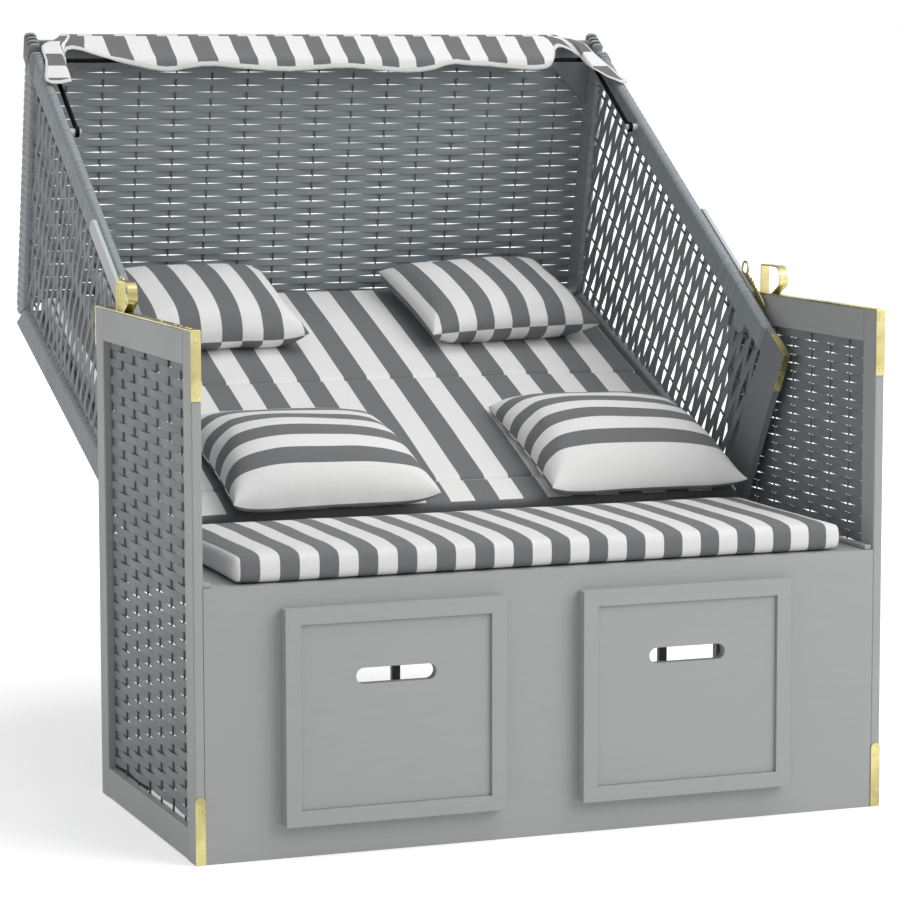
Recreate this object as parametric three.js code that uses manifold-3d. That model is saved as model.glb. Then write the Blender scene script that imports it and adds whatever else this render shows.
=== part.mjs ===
// Hooded two-seat beach chair: a woven hood that reclines on two pivot pins between the arms of a
// boarded base, with two pull-out footrests, a folding awning, a seat cushion, a backrest cushion
// and four loose pillows.
// Millimetres, +Z up, +Y to the back of the chair. Left and right are as seen from the front.
import * as THREE from "three";
import { mergeVertices } from "three/addons/utils/BufferGeometryUtils.js";
import Module from "manifold-3d";

const wasm = await Module();
wasm.setup();

// Shared clearances and cutting overrun.
const fitGap = 0.3;
const runningFit = 0.1;
const overrun = 2;
const arris = 1.5;

// Base: two panelled side frames, a front board and a seat board.
const chairWidth = 1180;
const baseDepth = 565;
const armHeight = 826;
const sideThickness = 16;
const frontPostWidth = 44;
const rearPostWidth = 45;
const armRailHeight = 54;
const sillRailHeight = 50;
const weaveThickness = 2;
const sideWeaveInset = 2;
const frontBoardThickness = 20;
const seatHeight = 431;
const seatBoardThickness = 34;
const rearFrameThickness = 16;
const rearStileWidth = 25;
const rearSillHeight = 70;
const rearHeadHeight = 37;

// Brass straps and latch hoops on the side frames.
const strapThickness = 2;
const armStrapFrontLeg = 107;
const armStrapRearLeg = 65;
const armStrapBendRadius = 7;
const armStrapRearThickness = 5;
const footStrapBottom = 0.5;
const footStrapHeight = 107;
const hoopLength = 77;
const hoopHeight = 50;
const hoopStrapThickness = 2.5;
const hoopFrontRadius = 22;
const hoopRearRadius = 5;
const hoopRearOffset = 132;
const hoopFootReturn = 30;
const hoopKneeHeight = 17;
const hoopKneeRadius = 14;

// Pull-out footrests.
const footrestOffset = -17.4;
const footrestFrameHeight = 342;
const footrestFrameBottom = 52;
const footrestFrameBorder = 25;
const footrestFrameThickness = 22;
const footrestPanelThickness = 16;
const footrestLap = 13;
const handleLength = 133;
const handleHeight = 25.4;
const handleCentreHeight = 282.5;
const footrestDepth = 446;
const footrestTopThickness = 18;
const footrestRailWidth = 15;
const footrestRailHeight = 28;
const footrestLegDepth = 12;
const footrestSideGap = 2;
const runnerHeight = 30;
const runnerWidth = 34;
const runnerLipWidth = 9;
const runnerLipHeight = 12;

// Seat cushion.
const seatCushionEndGap = 51;
const seatCushionDepth = 393;
const seatCushionFront = 5;
const seatCushionThickness = 48;

// Hood, drawn upright with its pivot as the origin, and then leant back to its reclined rest.
const pivotBack = 459;
const pivotHeight = 778;
const reclineDegrees = 68.6;
const hoodToeForward = -18;
const hoodToeHeight = -178;
const hoodHeelBack = 321;
const hoodHeelHeight = -122;
const hoodTopBack = 737;
const hoodPeakForward = -218;
const hoodPeakHeight = 822;
const hoodSideClearance = 11;
const stileThickness = 18;
const frontStileWidth = 50;
const roofStileWidth = 60;
const backStileWidth = 55;
const stileRound = 6;
const hoodCornerRadius = 26;
const endBoardWidth = 78;
const endBoardThickness = 12;
const roofWeaveSetback = 4;
const backWeaveSetback = 7;
const topRailSetback = 8;
const topRailDepth = 50;
const topRailThickness = 12;
const gussetLeg = 75;
const rearRailHeight = 34;
const rearRailDepth = 30;
const backBoardThickness = 6;
const backBoardBottom = -100;
const backBoardTop = 690;
const backrestSurface = 252;
const backrestThickness = 34;
const backrestEndGap = 17;
const backrestBottom = -156;
const backrestTop = 712;
const backrestSeams = [-69, 318];

// Pivot pins between the arm rails and the hood's front stiles.
const pivotRadius = 6;
const pivotCollarRadius = 10;
const pivotPlateRadius = 24;
const pivotPlateThickness = 2.7;
const pivotBoreDepth = 14;
const pivotLugRadius = 22;

// Hood lock: a wooden rail outside each front stile with a toothed brass rack on its front edge.
const lockRailBottom = 14;
const lockRailLength = 262;
const lockRailWidth = 28;
const lockRailThickness = 7;
const lockRailChamfer = 9;
const rackThickness = 2.4;
const rackWidth = 9;
const rackBelowPivot = 35;
const rackLength = 92;
const rackToothCount = 5;
const rackToothHeight = 4;
const rackToothPitch = 10;
const rackRingRadius = 13;
const rackRingHole = 9.5;
const cornerStrapFrontLeg = 58;
const cornerStrapBottomLeg = 75;

// Awning: a black rod bow on two white bosses inside the front stiles, with a striped canopy.
const bossForward = -144.4;
const bossHeight = 538.8;
const bossRadius = 6;
const bossLength = 11;
const bossPinRadius = 3.5;
const bossHeadRadius = 5.5;
const bossHeadLength = 4;
const bowRod = 8;
const bowCornerRadius = 12;
const bowForward = -192.5;
const bowHeight = 758.6;
const bowEyeRadius = 9.5;
const bowEyeThickness = 6;
const canopyEndGap = 25;
const canopyThickness = 2.5;
const canopyRailSetback = 15;
const canopyRailGap = 5;
const canopyLift = 0.6;
const hemDrop = 19;
const hemWave = 4;
const hemBillow = 2.5;
const hemWaveCount = 3;

// Loose pillows: centre and mid-plane height in hood coordinates, size and turn.
const lapPillowSize = 370;
const lapPillowRise = 88;
const lapPillowFall = 21.7;
const headPillowWidth = 352;
const headPillowHeight = 292;
const headPillowRise = 52;
const headPillowFall = 41.7;
const pillowDrawIn = 14;

// Shares that place the footrests and shape the soft forms.
const footrestPitchShare = 0.42186;
const footrestWidthShare = 0.31017;
const pillowCrownShare = 0.62;
const cushionCrownShare = 0.5;
const cushionSeamHeightShare = 0.3;
const channelDepthShare = 0.3;
const channelWidth = 7;

// Materials by finish.
function finish(color, roughness, metalness) {
  return new THREE.MeshStandardMaterial({ color, roughness, metalness });
}
const greyWood = finish(0xa5a7a6, 0.55, 0);
const greyRattan = finish(0x6f7376, 0.6, 0);
const paleRattan = finish(0xa7abad, 0.55, 0);
const palePaint = finish(0xc9cccd, 0.5, 0);
const brass = finish(0xd8c36a, 0.25, 1);
const blackSteel = finish(0x161616, 0.45, 0.6);
const stripedCloth = finish(0xbfbfbf, 0.9, 0);

// Values worked out from the sizes above.
const halfWidth = chairWidth / 2;
const innerHalf = halfWidth - sideThickness;
const hoodOuterHalf = innerHalf - hoodSideClearance;
const hoodInnerHalf = hoodOuterHalf - stileThickness;
const backrestHalfWidth = hoodInnerHalf - backrestEndGap;
const canopyHalfWidth = hoodInnerHalf - canopyEndGap;
const seatCushionWidth = 2 * (innerHalf - seatCushionEndGap);
const footrestPitch = chairWidth * footrestPitchShare;
const footrestFrameWidth = chairWidth * footrestWidthShare;
const stileMiddle = hoodOuterHalf - stileThickness / 2;
const recline = THREE.MathUtils.degToRad(reclineDegrees);
const sides = [
  { side: "left", sign: -1 },
  { side: "right", sign: 1 },
];

// Places a shape drawn in the Y-Z plane and extruded along X from one X to another.
const alongX = new THREE.Matrix4().makeBasis(
  new THREE.Vector3(0, 1, 0),
  new THREE.Vector3(0, 0, 1),
  new THREE.Vector3(1, 0, 0),
);
// Places a shape drawn in the X-Z plane; its extrusion runs towards the front.
const alongY = new THREE.Matrix4().makeBasis(
  new THREE.Vector3(1, 0, 0),
  new THREE.Vector3(0, 0, 1),
  new THREE.Vector3(0, -1, 0),
);

function extrude(shape, depth, options = {}) {
  const settings = { depth, bevelEnabled: false, steps: 1, curveSegments: 6, ...options };
  return new THREE.ExtrudeGeometry(shape, settings);
}

function extrudeX(shape, from, to, options) {
  const geometry = extrude(shape, to - from, options).applyMatrix4(alongX);
  return geometry.translate(from, 0, 0);
}

function extrudeY(shape, from, to, options) {
  const geometry = extrude(shape, to - from, options).applyMatrix4(alongY);
  return geometry.translate(0, to, 0);
}

function extrudeZ(shape, from, to, options) {
  return extrude(shape, to - from, options).translate(0, 0, from);
}

// A closed outline through points, each corner rounded by its own radius.
function outline(points, radii = 0, Kind = THREE.Shape) {
  const shape = new Kind();
  const count = points.length;
  for (let i = 0; i < count; i += 1) {
    const corner = new THREE.Vector2(...points[i]);
    const before = new THREE.Vector2(...points[(i + count - 1) % count]);
    const after = new THREE.Vector2(...points[(i + 1) % count]);
    const radius = Array.isArray(radii) ? radii[i] : radii;
    const toBefore = before.clone().sub(corner).normalize();
    const toAfter = after.clone().sub(corner).normalize();
    const halfAngle = toBefore.angleTo(toAfter) / 2;
    const setback = radius > 0 ? radius / Math.tan(halfAngle) : 0;
    const start = corner.clone().addScaledVector(toBefore, setback);
    const end = corner.clone().addScaledVector(toAfter, setback);
    if (i === 0) shape.moveTo(start.x, start.y);
    else shape.lineTo(start.x, start.y);
    if (radius > 0) shape.quadraticCurveTo(corner.x, corner.y, end.x, end.y);
  }
  shape.closePath();
  return shape;
}

function rectangle(fromU, toU, fromV, toV, radius = 0, Kind = THREE.Shape) {
  const corners = [
    [fromU, fromV],
    [toU, fromV],
    [toU, toV],
    [fromU, toV],
  ];
  return outline(corners, radius, Kind);
}

// A rectangle whose four corners are planed off by the arris, for a board's section.
function planed(fromU, toU, fromV, toV) {
  const corners = [
    [fromU + arris, fromV],
    [toU - arris, fromV],
    [toU, fromV + arris],
    [toU, toV - arris],
    [toU - arris, toV],
    [fromU + arris, toV],
    [fromU, toV - arris],
    [fromU, fromV + arris],
  ];
  return outline(corners);
}

// A board between two corners, its long edges planed along the axis that it runs.
function board(axis, [x0, x1], [y0, y1], [z0, z1]) {
  if (axis === "x") return extrudeX(planed(y0, y1, z0, z1), x0, x1);
  if (axis === "y") return extrudeY(planed(x0, x1, z0, z1), y0, y1);
  return extrudeZ(planed(x0, x1, y0, y1), z0, z1);
}

function rodX(radius, from, to, centreY, centreZ, segments = 20) {
  const [low, high] = from < to ? [from, to] : [to, from];
  const disc = new THREE.Shape().absarc(centreY, centreZ, radius, 0, 2 * Math.PI, false);
  return extrudeX(disc, low, high, { curveSegments: segments / 2 });
}

// Solids are joined and cut here.
function solid(geometry) {
  const bare = geometry.clone();
  bare.deleteAttribute("normal");
  bare.deleteAttribute("uv");
  const merged = mergeVertices(bare, 1e-4);
  const vertProperties = new Float32Array(merged.attributes.position.array);
  const triVerts = new Uint32Array(merged.index.array);
  return new wasm.Manifold(new wasm.Mesh({ numProp: 3, vertProperties, triVerts }));
}

function geometryOf(manifold) {
  const mesh = manifold.getMesh();
  const geometry = new THREE.BufferGeometry();
  const places = new THREE.BufferAttribute(new Float32Array(mesh.vertProperties), 3);
  geometry.setAttribute("position", places);
  geometry.setIndex(new THREE.BufferAttribute(new Uint32Array(mesh.triVerts), 1));
  const flat = geometry.toNonIndexed();
  flat.computeVertexNormals();
  return flat;
}

function joined(...geometries) {
  return geometryOf(geometries.map(solid).reduce((sum, next) => sum.add(next)));
}

function cut(geometry, ...tools) {
  return geometryOf(tools.map(solid).reduce((rest, tool) => rest.subtract(tool), solid(geometry)));
}

function mirrored(geometry) {
  const flipped = geometry.clone().applyMatrix4(new THREE.Matrix4().makeScale(-1, 1, 1));
  const plain = flipped.index ? flipped.toNonIndexed() : flipped;
  const places = plain.attributes.position;
  const swap = new THREE.Vector3();
  const other = new THREE.Vector3();
  for (let i = 0; i < places.count; i += 3) {
    swap.fromBufferAttribute(places, i + 1);
    other.fromBufferAttribute(places, i + 2);
    places.setXYZ(i + 1, other.x, other.y, other.z);
    places.setXYZ(i + 2, swap.x, swap.y, swap.z);
  }
  plain.computeVertexNormals();
  return plain;
}

// Side pieces are drawn on the right side and mirrored for the left.
function handed(sign, geometry) {
  return sign > 0 ? geometry : mirrored(geometry);
}

const chair = new THREE.Group();
const hood = new THREE.Group();
hood.position.set(0, pivotBack, pivotHeight);
hood.rotation.x = -recline;
chair.add(hood);

function addPiece(group, name, geometry, material) {
  const mesh = new THREE.Mesh(geometry, material);
  mesh.name = name;
  group.add(mesh);
  return mesh;
}

// Side frames: two posts that run to the ground, an arm rail and a sill rail between them, and a
// woven panel set between the four boards near the inner face.
function sideFrame({ side, sign }) {
  const across = [innerHalf, halfWidth];
  const opening = [frontPostWidth, baseDepth - rearPostWidth];
  const armRail = [armHeight - armRailHeight, armHeight];
  const sillRail = [0, sillRailHeight];
  const piece = (name, geometry, material = greyWood) => {
    addPiece(chair, `${side}_${name}`, handed(sign, geometry), material);
  };
  piece("front_post", board("z", across, [0, frontPostWidth], [0, armHeight]));
  piece("rear_post", board("z", across, [opening[1], baseDepth], [0, armHeight]));
  piece("arm_rail", board("y", across, opening, armRail));
  piece("sill_rail", board("y", across, opening, sillRail));
  const weaveFace = innerHalf + sideWeaveInset;
  const panel = rectangle(
    opening[0] + fitGap,
    opening[1] - fitGap,
    sillRail[1] + fitGap,
    armRail[0] - fitGap,
  );
  piece("side_weave", extrudeX(panel, weaveFace, weaveFace + weaveThickness), greyRattan);
}

// Brass strap over the whole arm, bent down the front post and the rear post, with round ends.
function armStrap({ side, sign }) {
  const top = armHeight + strapThickness;
  const front = -strapThickness;
  const rear = baseDepth + armStrapRearThickness;
  const frontEnd = armHeight - armStrapFrontLeg;
  const rearEnd = armHeight - armStrapRearLeg;
  const bend = armStrapBendRadius;
  const points = [
    [front, frontEnd],
    [0, frontEnd],
    [0, armHeight],
    [baseDepth, armHeight],
    [baseDepth, rearEnd],
    [rear, rearEnd],
    [rear, top],
    [front, top],
  ];
  const radii = [0, 0, 0, 0, 0, 0, bend, strapThickness];
  const profile = outline(points, radii);
  const strap = extrudeX(profile, innerHalf, halfWidth);
  addPiece(chair, `${side}_arm_strap`, handed(sign, strap), brass);
}

// Flat brass strap up the foot of each front post, with a round top end.
function footStrap({ side, sign }) {
  const middle = (innerHalf + halfWidth) / 2;
  const reach = sideThickness / 2;
  const shape = new THREE.Shape();
  shape.moveTo(middle - reach, footStrapBottom);
  shape.lineTo(middle + reach, footStrapBottom);
  shape.lineTo(middle + reach, footStrapHeight - reach);
  shape.absarc(middle, footStrapHeight - reach, reach, 0, Math.PI, false);
  shape.closePath();
  const strap = extrudeY(shape, -strapThickness, 0);
  addPiece(chair, `${side}_foot_strap`, handed(sign, strap), brass);
}

// D-shaped latch hoop that stands on the arm strap and lifts at its rear foot.
function latchHoop({ side, sign }) {
  const floor = armHeight + strapThickness + fitGap;
  const rear = baseDepth - hoopRearOffset;
  const front = rear - hoopLength;
  const t = hoopStrapThickness;
  const knee = floor + hoopKneeHeight;
  const slant = Math.hypot(hoopFootReturn, hoopKneeHeight);
  const kneeInside = knee + (t * (slant - hoopKneeHeight)) / hoopFootReturn;
  const footInside = front + hoopFootReturn + (t * slant) / hoopKneeHeight;
  const outer = [
    [rear, floor],
    [rear, floor + hoopHeight],
    [front, floor + hoopHeight],
    [front, knee],
    [front + hoopFootReturn, floor],
    [footInside, floor],
    [front + t, kneeInside],
    [front + t, floor + hoopHeight - t],
    [rear - t, floor + hoopHeight - t],
    [rear - t, floor],
  ];
  const inside = hoopFrontRadius - t;
  const kneeBend = hoopKneeRadius - t;
  const radii = [0, hoopRearRadius, hoopFrontRadius, hoopKneeRadius, 0, 0, kneeBend, inside, hoopRearRadius - t, 0];
  const hoop = extrudeX(outline(outer, radii), innerHalf, halfWidth);
  addPiece(chair, `${side}_latch_hoop`, handed(sign, hoop), brass);
}

// Front board with one opening for each footrest.
function footrestCentre(sign) {
  return footrestOffset + (sign * footrestPitch) / 2;
}
const openingHalfWidth = footrestFrameWidth / 2 - footrestLap;
const openingBottom = footrestFrameBottom + footrestLap;
const openingTop = footrestFrameBottom + footrestFrameHeight - footrestLap;

function frontBoard() {
  const whole = extrudeY(rectangle(-innerHalf, innerHalf, 0, seatHeight), 0, frontBoardThickness);
  const openings = sides.map(({ sign }) => {
    const centre = footrestCentre(sign);
    const across = [centre - openingHalfWidth, centre + openingHalfWidth];
    const shape = rectangle(...across, openingBottom, openingTop);
    return extrudeY(shape, -overrun, frontBoardThickness + overrun);
  });
  addPiece(chair, "front_board", cut(whole, ...openings), greyWood);
}

// Rear frame under the seat: sill, head and two corner stiles round one open bay.
function rearFrame() {
  const top = seatHeight - seatBoardThickness;
  const shape = rectangle(-innerHalf, innerHalf, 0, top);
  const bay = innerHalf - rearStileWidth;
  shape.holes.push(rectangle(-bay, bay, rearSillHeight, top - rearHeadHeight, 0, THREE.Path));
  addPiece(chair, "rear_frame", extrudeY(shape, baseDepth - rearFrameThickness, baseDepth), greyWood);
}

function seatBoard() {
  const heights = [seatHeight - seatBoardThickness, seatHeight];
  const depth = [frontBoardThickness, baseDepth];
  addPiece(chair, "seat_board", board("x", [-innerHalf, innerHalf], depth, heights), greyWood);
}

// Four rebated battens from the front board to the rear frame that guide the footrest rails.
function runner(name, centre, outward) {
  const top = openingBottom + footrestSideGap - fitGap;
  const bottom = top - runnerHeight;
  const railFace = centre + (outward * footrestRailWidth) / 2;
  const lipInner = railFace + outward * footrestSideGap;
  const lipOuter = lipInner + outward * runnerLipWidth;
  const foot = lipOuter - outward * runnerWidth;
  const points = [
    [foot, bottom],
    [lipOuter, bottom],
    [lipOuter, top + runnerLipHeight],
    [lipInner, top + runnerLipHeight],
    [lipInner, top],
    [foot, top],
  ];
  const ordered = outward > 0 ? points : points.reverse();
  const depth = [frontBoardThickness, baseDepth - rearFrameThickness];
  addPiece(chair, name, extrudeY(outline(ordered), ...depth), greyWood);
}

// Pull-out footrest: a planted front frame, a slotted panel in it, and a carcass of a top board,
// two bottom rails and two rear legs that slides on the battens.
function footrest({ side, sign }) {
  const centre = footrestCentre(sign);
  const half = footrestFrameWidth / 2;
  const bottom = footrestFrameBottom;
  const top = bottom + footrestFrameHeight;
  const border = footrestFrameBorder;
  const rim = rectangle(centre - half, centre + half, bottom, top, arris);
  const inside = [centre - half + border, centre + half - border, bottom + border, top - border];
  rim.holes.push(rectangle(...inside, 0, THREE.Path));
  const frame = extrudeY(rim, -footrestFrameThickness, -fitGap);
  addPiece(chair, `${side}_footrest_frame`, frame, greyWood);

  const [x0, x1, z0, z1] = inside;
  const panel = rectangle(x0 + fitGap, x1 - fitGap, z0 + fitGap, z1 - fitGap);
  const grip = handleHeight / 2;
  const reach = handleLength / 2 - grip;
  const slot = new THREE.Path();
  slot.absarc(centre + reach, handleCentreHeight, grip, -Math.PI / 2, Math.PI / 2, false);
  slot.absarc(centre - reach, handleCentreHeight, grip, Math.PI / 2, (3 * Math.PI) / 2, false);
  slot.closePath();
  panel.holes.push(slot);
  const face = extrudeY(panel, -fitGap - footrestPanelThickness, -fitGap);
  addPiece(chair, `${side}_footrest_panel`, face, greyWood);

  const outer = openingHalfWidth - footrestSideGap;
  const low = openingBottom + footrestSideGap;
  const high = openingTop - footrestSideGap;
  const shelf = [high - footrestTopThickness, high];
  const length = [0, footrestDepth];
  const pieces = [board("y", [centre - outer, centre + outer], length, shelf)];
  for (const edge of [-1, 1]) {
    const near = centre + edge * outer;
    const far = near - edge * footrestRailWidth;
    const width = edge > 0 ? [far, near] : [near, far];
    const legDepth = [footrestDepth - footrestLegDepth, footrestDepth];
    pieces.push(board("z", width, legDepth, [low, shelf[0] + arris]));
    pieces.push(board("y", width, length, [low, low + footrestRailHeight]));
    pieces.push(board("z", width, [0, footrestLegDepth], [low, shelf[0] + arris]));
    const guideSide = edge > 0 ? "right" : "left";
    runner(`${side}_footrest_${guideSide}_runner`, near - (edge * footrestRailWidth) / 2, edge);
  }
  addPiece(chair, `${side}_footrest_carcass`, joined(...pieces), greyWood);
}

// A padded form in its own X-Y plane: crowned faces above and below a seam, sides that draw in
// between the corners, and sewn channels across it where stations are given.
function padded(size) {
  const { width, depth, rise, fall, power, fullness, drawIn, columns, rows, channels = [] } = size;
  const ease = (count) => {
    const list = [];
    for (let i = 0; i <= count; i += 1) list.push(Math.sin(((i / count) * 2 - 1) * (Math.PI / 2)));
    return list;
  };
  const across = ease(columns);
  const along = ease(rows);
  for (const place of channels) {
    const at = (2 * place) / depth;
    const step = (2 * channelWidth) / depth;
    along.push(at - step, at, at + step);
  }
  along.sort((a, b) => a - b);
  const spread = (u) => Math.max(0, 1 - Math.abs(u) ** power) ** fullness;
  const groove = (v) => {
    const near = channels.some((place) => Math.abs(place - (v * depth) / 2) < channelWidth / 2);
    return near ? 1 - channelDepthShare : 1;
  };
  const places = [];
  const index = [];
  const stride = across.length;
  const isRim = (i, j) => i === 0 || j === 0 || i === across.length - 1 || j === along.length - 1;
  const place = (u, v, height) => {
    const x = (u * width) / 2 - Math.sign(u) * drawIn * (1 - v * v) * u * u;
    const y = (v * depth) / 2 - Math.sign(v) * drawIn * (1 - u * u) * v * v;
    places.push(x, y, height);
    return places.length / 3 - 1;
  };
  const upper = [];
  const lower = [];
  for (let j = 0; j < along.length; j += 1) {
    for (let i = 0; i < stride; i += 1) {
      const swell = spread(across[i]) * spread(along[j]) * groove(along[j]);
      const rim = isRim(i, j);
      upper.push(place(across[i], along[j], rim ? 0 : rise * swell));
      lower.push(rim ? upper[upper.length - 1] : place(across[i], along[j], -fall * swell));
    }
  }
  const at = (list, i, j) => list[j * stride + i];
  for (let j = 0; j + 1 < along.length; j += 1) {
    for (let i = 0; i + 1 < stride; i += 1) {
      const up = [at(upper, i, j), at(upper, i + 1, j), at(upper, i + 1, j + 1), at(upper, i, j + 1)];
      const down = [at(lower, i, j), at(lower, i + 1, j), at(lower, i + 1, j + 1), at(lower, i, j + 1)];
      // The diagonal turns with the quarter, so that no triangle lies flat between two rim edges.
      const turn = i < (stride - 1) / 2 === j < (along.length - 1) / 2;
      const halves = turn ? [0, 1, 2, 0, 2, 3] : [0, 1, 3, 1, 2, 3];
      for (let k = 0; k < halves.length; k += 3) {
        const [a, b, c] = halves.slice(k, k + 3);
        index.push(up[a], up[b], up[c]);
        index.push(down[a], down[c], down[b]);
      }
    }
  }
  const geometry = new THREE.BufferGeometry();
  geometry.setAttribute("position", new THREE.Float32BufferAttribute(places, 3));
  geometry.setIndex(index);
  geometry.computeVertexNormals();
  return geometry;
}

function seatCushion() {
  const seam = seatCushionThickness * cushionSeamHeightShare;
  const pad = padded({
    width: seatCushionWidth,
    depth: seatCushionDepth,
    rise: seatCushionThickness - seam,
    fall: seam - fitGap,
    power: 12,
    fullness: cushionCrownShare,
    drawIn: 0,
    columns: 24,
    rows: 14,
  });
  const mesh = addPiece(chair, "seat_cushion", pad, stripedCloth);
  mesh.position.set(0, seatCushionFront + seatCushionDepth / 2, seatHeight + seam);
}

// Outline points of the hood's side, in its upright frame.
const toe = new THREE.Vector2(hoodToeForward, hoodToeHeight);
const heel = new THREE.Vector2(hoodHeelBack, hoodHeelHeight);
const rearTop = new THREE.Vector2(hoodHeelBack, hoodTopBack);
const peak = new THREE.Vector2(hoodPeakForward, hoodPeakHeight);
const frontEdge = peak.clone().sub(toe).normalize();
const frontInward = new THREE.Vector2(frontEdge.y, -frontEdge.x);
const bottomEdge = heel.clone().sub(toe).normalize();
const bottomInward = new THREE.Vector2(-bottomEdge.y, bottomEdge.x);
const roofEdge = rearTop.clone().sub(peak).normalize();
const roofInward = new THREE.Vector2(roofEdge.y, -roofEdge.x);

// The point a given way along and inward of the hood's front edge, measured from its toe.
function onFront(along, inward) {
  return toe.clone().addScaledVector(frontEdge, along).addScaledVector(frontInward, inward);
}

// Where two lines, each a point and a direction, cross.
function crossing(pointA, alongA, pointB, alongB) {
  const between = pointB.clone().sub(pointA);
  const scale = between.cross(alongB) / alongA.cross(alongB);
  return pointA.clone().addScaledVector(alongA, scale);
}

const frontInnerLine = onFront(0, frontStileWidth);
const roofInnerLine = peak.clone().addScaledVector(roofInward, roofStileWidth);
const backInnerLine = new THREE.Vector2(hoodHeelBack - backStileWidth, 0);
const endTopLine = toe.clone().addScaledVector(bottomInward, endBoardWidth);
const upward = new THREE.Vector2(0, 1);
const innerPeak = crossing(frontInnerLine, frontEdge, roofInnerLine, roofEdge);
const innerRearTop = crossing(backInnerLine, upward, roofInnerLine, roofEdge);
const innerHeel = crossing(backInnerLine, upward, endTopLine, bottomEdge);
const innerToe = crossing(frontInnerLine, frontEdge, endTopLine, bottomEdge);
const outerToe = crossing(toe, frontEdge, endTopLine, bottomEdge);
const outerHeel = crossing(heel, upward, endTopLine, bottomEdge);

// A wrapped board: an outline in the hood's side plane with its long edges rounded over.
function wrapped(points, radii) {
  const settings = {
    bevelEnabled: true,
    bevelThickness: stileRound,
    bevelSize: stileRound,
    bevelOffset: -stileRound,
    bevelSegments: 2,
  };
  const shape = outline(points.map((point) => [point.x, point.y]), radii);
  const from = hoodInnerHalf + stileRound;
  return extrudeX(shape, from, hoodOuterHalf - stileRound, settings);
}

// Keeps a hair of space between neighbouring boards that meet on a line.
function trimmed(point, direction) {
  return point.clone().addScaledVector(direction, fitGap);
}

function hoodSide({ side, sign }) {
  const piece = (name, geometry, material) => {
    addPiece(hood, `${side}_${name}`, handed(sign, geometry), material);
  };
  const lugFoot = new THREE.Shape().absarc(0, 0, pivotLugRadius, 0, 2 * Math.PI, false);
  const lug = extrudeX(lugFoot, hoodInnerHalf, hoodOuterHalf, { curveSegments: 8 });
  const boreFrom = hoodOuterHalf - pivotBoreDepth;
  const bore = rodX(pivotRadius + runningFit, boreFrom, hoodOuterHalf + overrun, 0, 0);
  const stile = wrapped(
    [trimmed(outerToe, frontEdge), trimmed(innerToe, frontEdge), innerPeak, peak].reverse(),
    [hoodCornerRadius, 0, 0, 0],
  );
  const bossInner = hoodInnerHalf - bossLength;
  const pinInner = bossInner - bowEyeThickness - 2 * fitGap;
  const boss = rodX(bossRadius, bossInner, hoodInnerHalf + stileRound, bossForward, bossHeight);
  const pin = rodX(bossPinRadius, pinInner - overrun, hoodInnerHalf, bossForward, bossHeight, 12);
  const head = rodX(bossHeadRadius, pinInner - bossHeadLength, pinInner, bossForward, bossHeight, 12);
  piece("front_stile", cut(joined(stile, lug, boss, pin, head), bore), paleRattan);

  const roofDown = roofInward.clone();
  piece(
    "roof_stile",
    wrapped(
      [
        trimmed(peak, roofEdge),
        trimmed(innerPeak, roofEdge),
        trimmed(innerRearTop, roofDown.clone().negate()),
        trimmed(rearTop, roofDown.clone().negate()),
      ],
      [0, 0, 0, hoodCornerRadius],
    ),
    paleRattan,
  );
  piece(
    "back_stile",
    wrapped(
      [
        trimmed(outerHeel, upward),
        trimmed(rearTop, upward.clone().negate()),
        trimmed(innerRearTop, upward.clone().negate()),
        trimmed(innerHeel, upward),
      ],
      0,
    ),
    paleRattan,
  );
  const endPoints = [toe, heel, outerHeel, outerToe].map((point) => [point.x, point.y]);
  const endMiddle = stileMiddle - endBoardThickness / 2;
  const endShape = outline(endPoints, [arris, hoodCornerRadius, 0, 0]);
  piece("end_board", extrudeX(endShape, endMiddle, endMiddle + endBoardThickness), greyWood);

  const inset = (point) => {
    const centre = innerPeak.clone().add(innerRearTop).add(innerHeel).add(innerToe).divideScalar(4);
    return point.clone().addScaledVector(centre.sub(point).normalize(), 2 * fitGap);
  };
  const panelPoints = [innerToe, innerHeel, innerRearTop, innerPeak].map(inset);
  const panel = extrudeX(
    outline(panelPoints.map((point) => [point.x, point.y])),
    stileMiddle - weaveThickness / 2,
    stileMiddle + weaveThickness / 2,
  );
  const lugRoom = rodX(pivotLugRadius + fitGap, hoodInnerHalf, hoodOuterHalf, 0, 0);
  piece("hood_weave", cut(panel, lugRoom), greyRattan);
}

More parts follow.
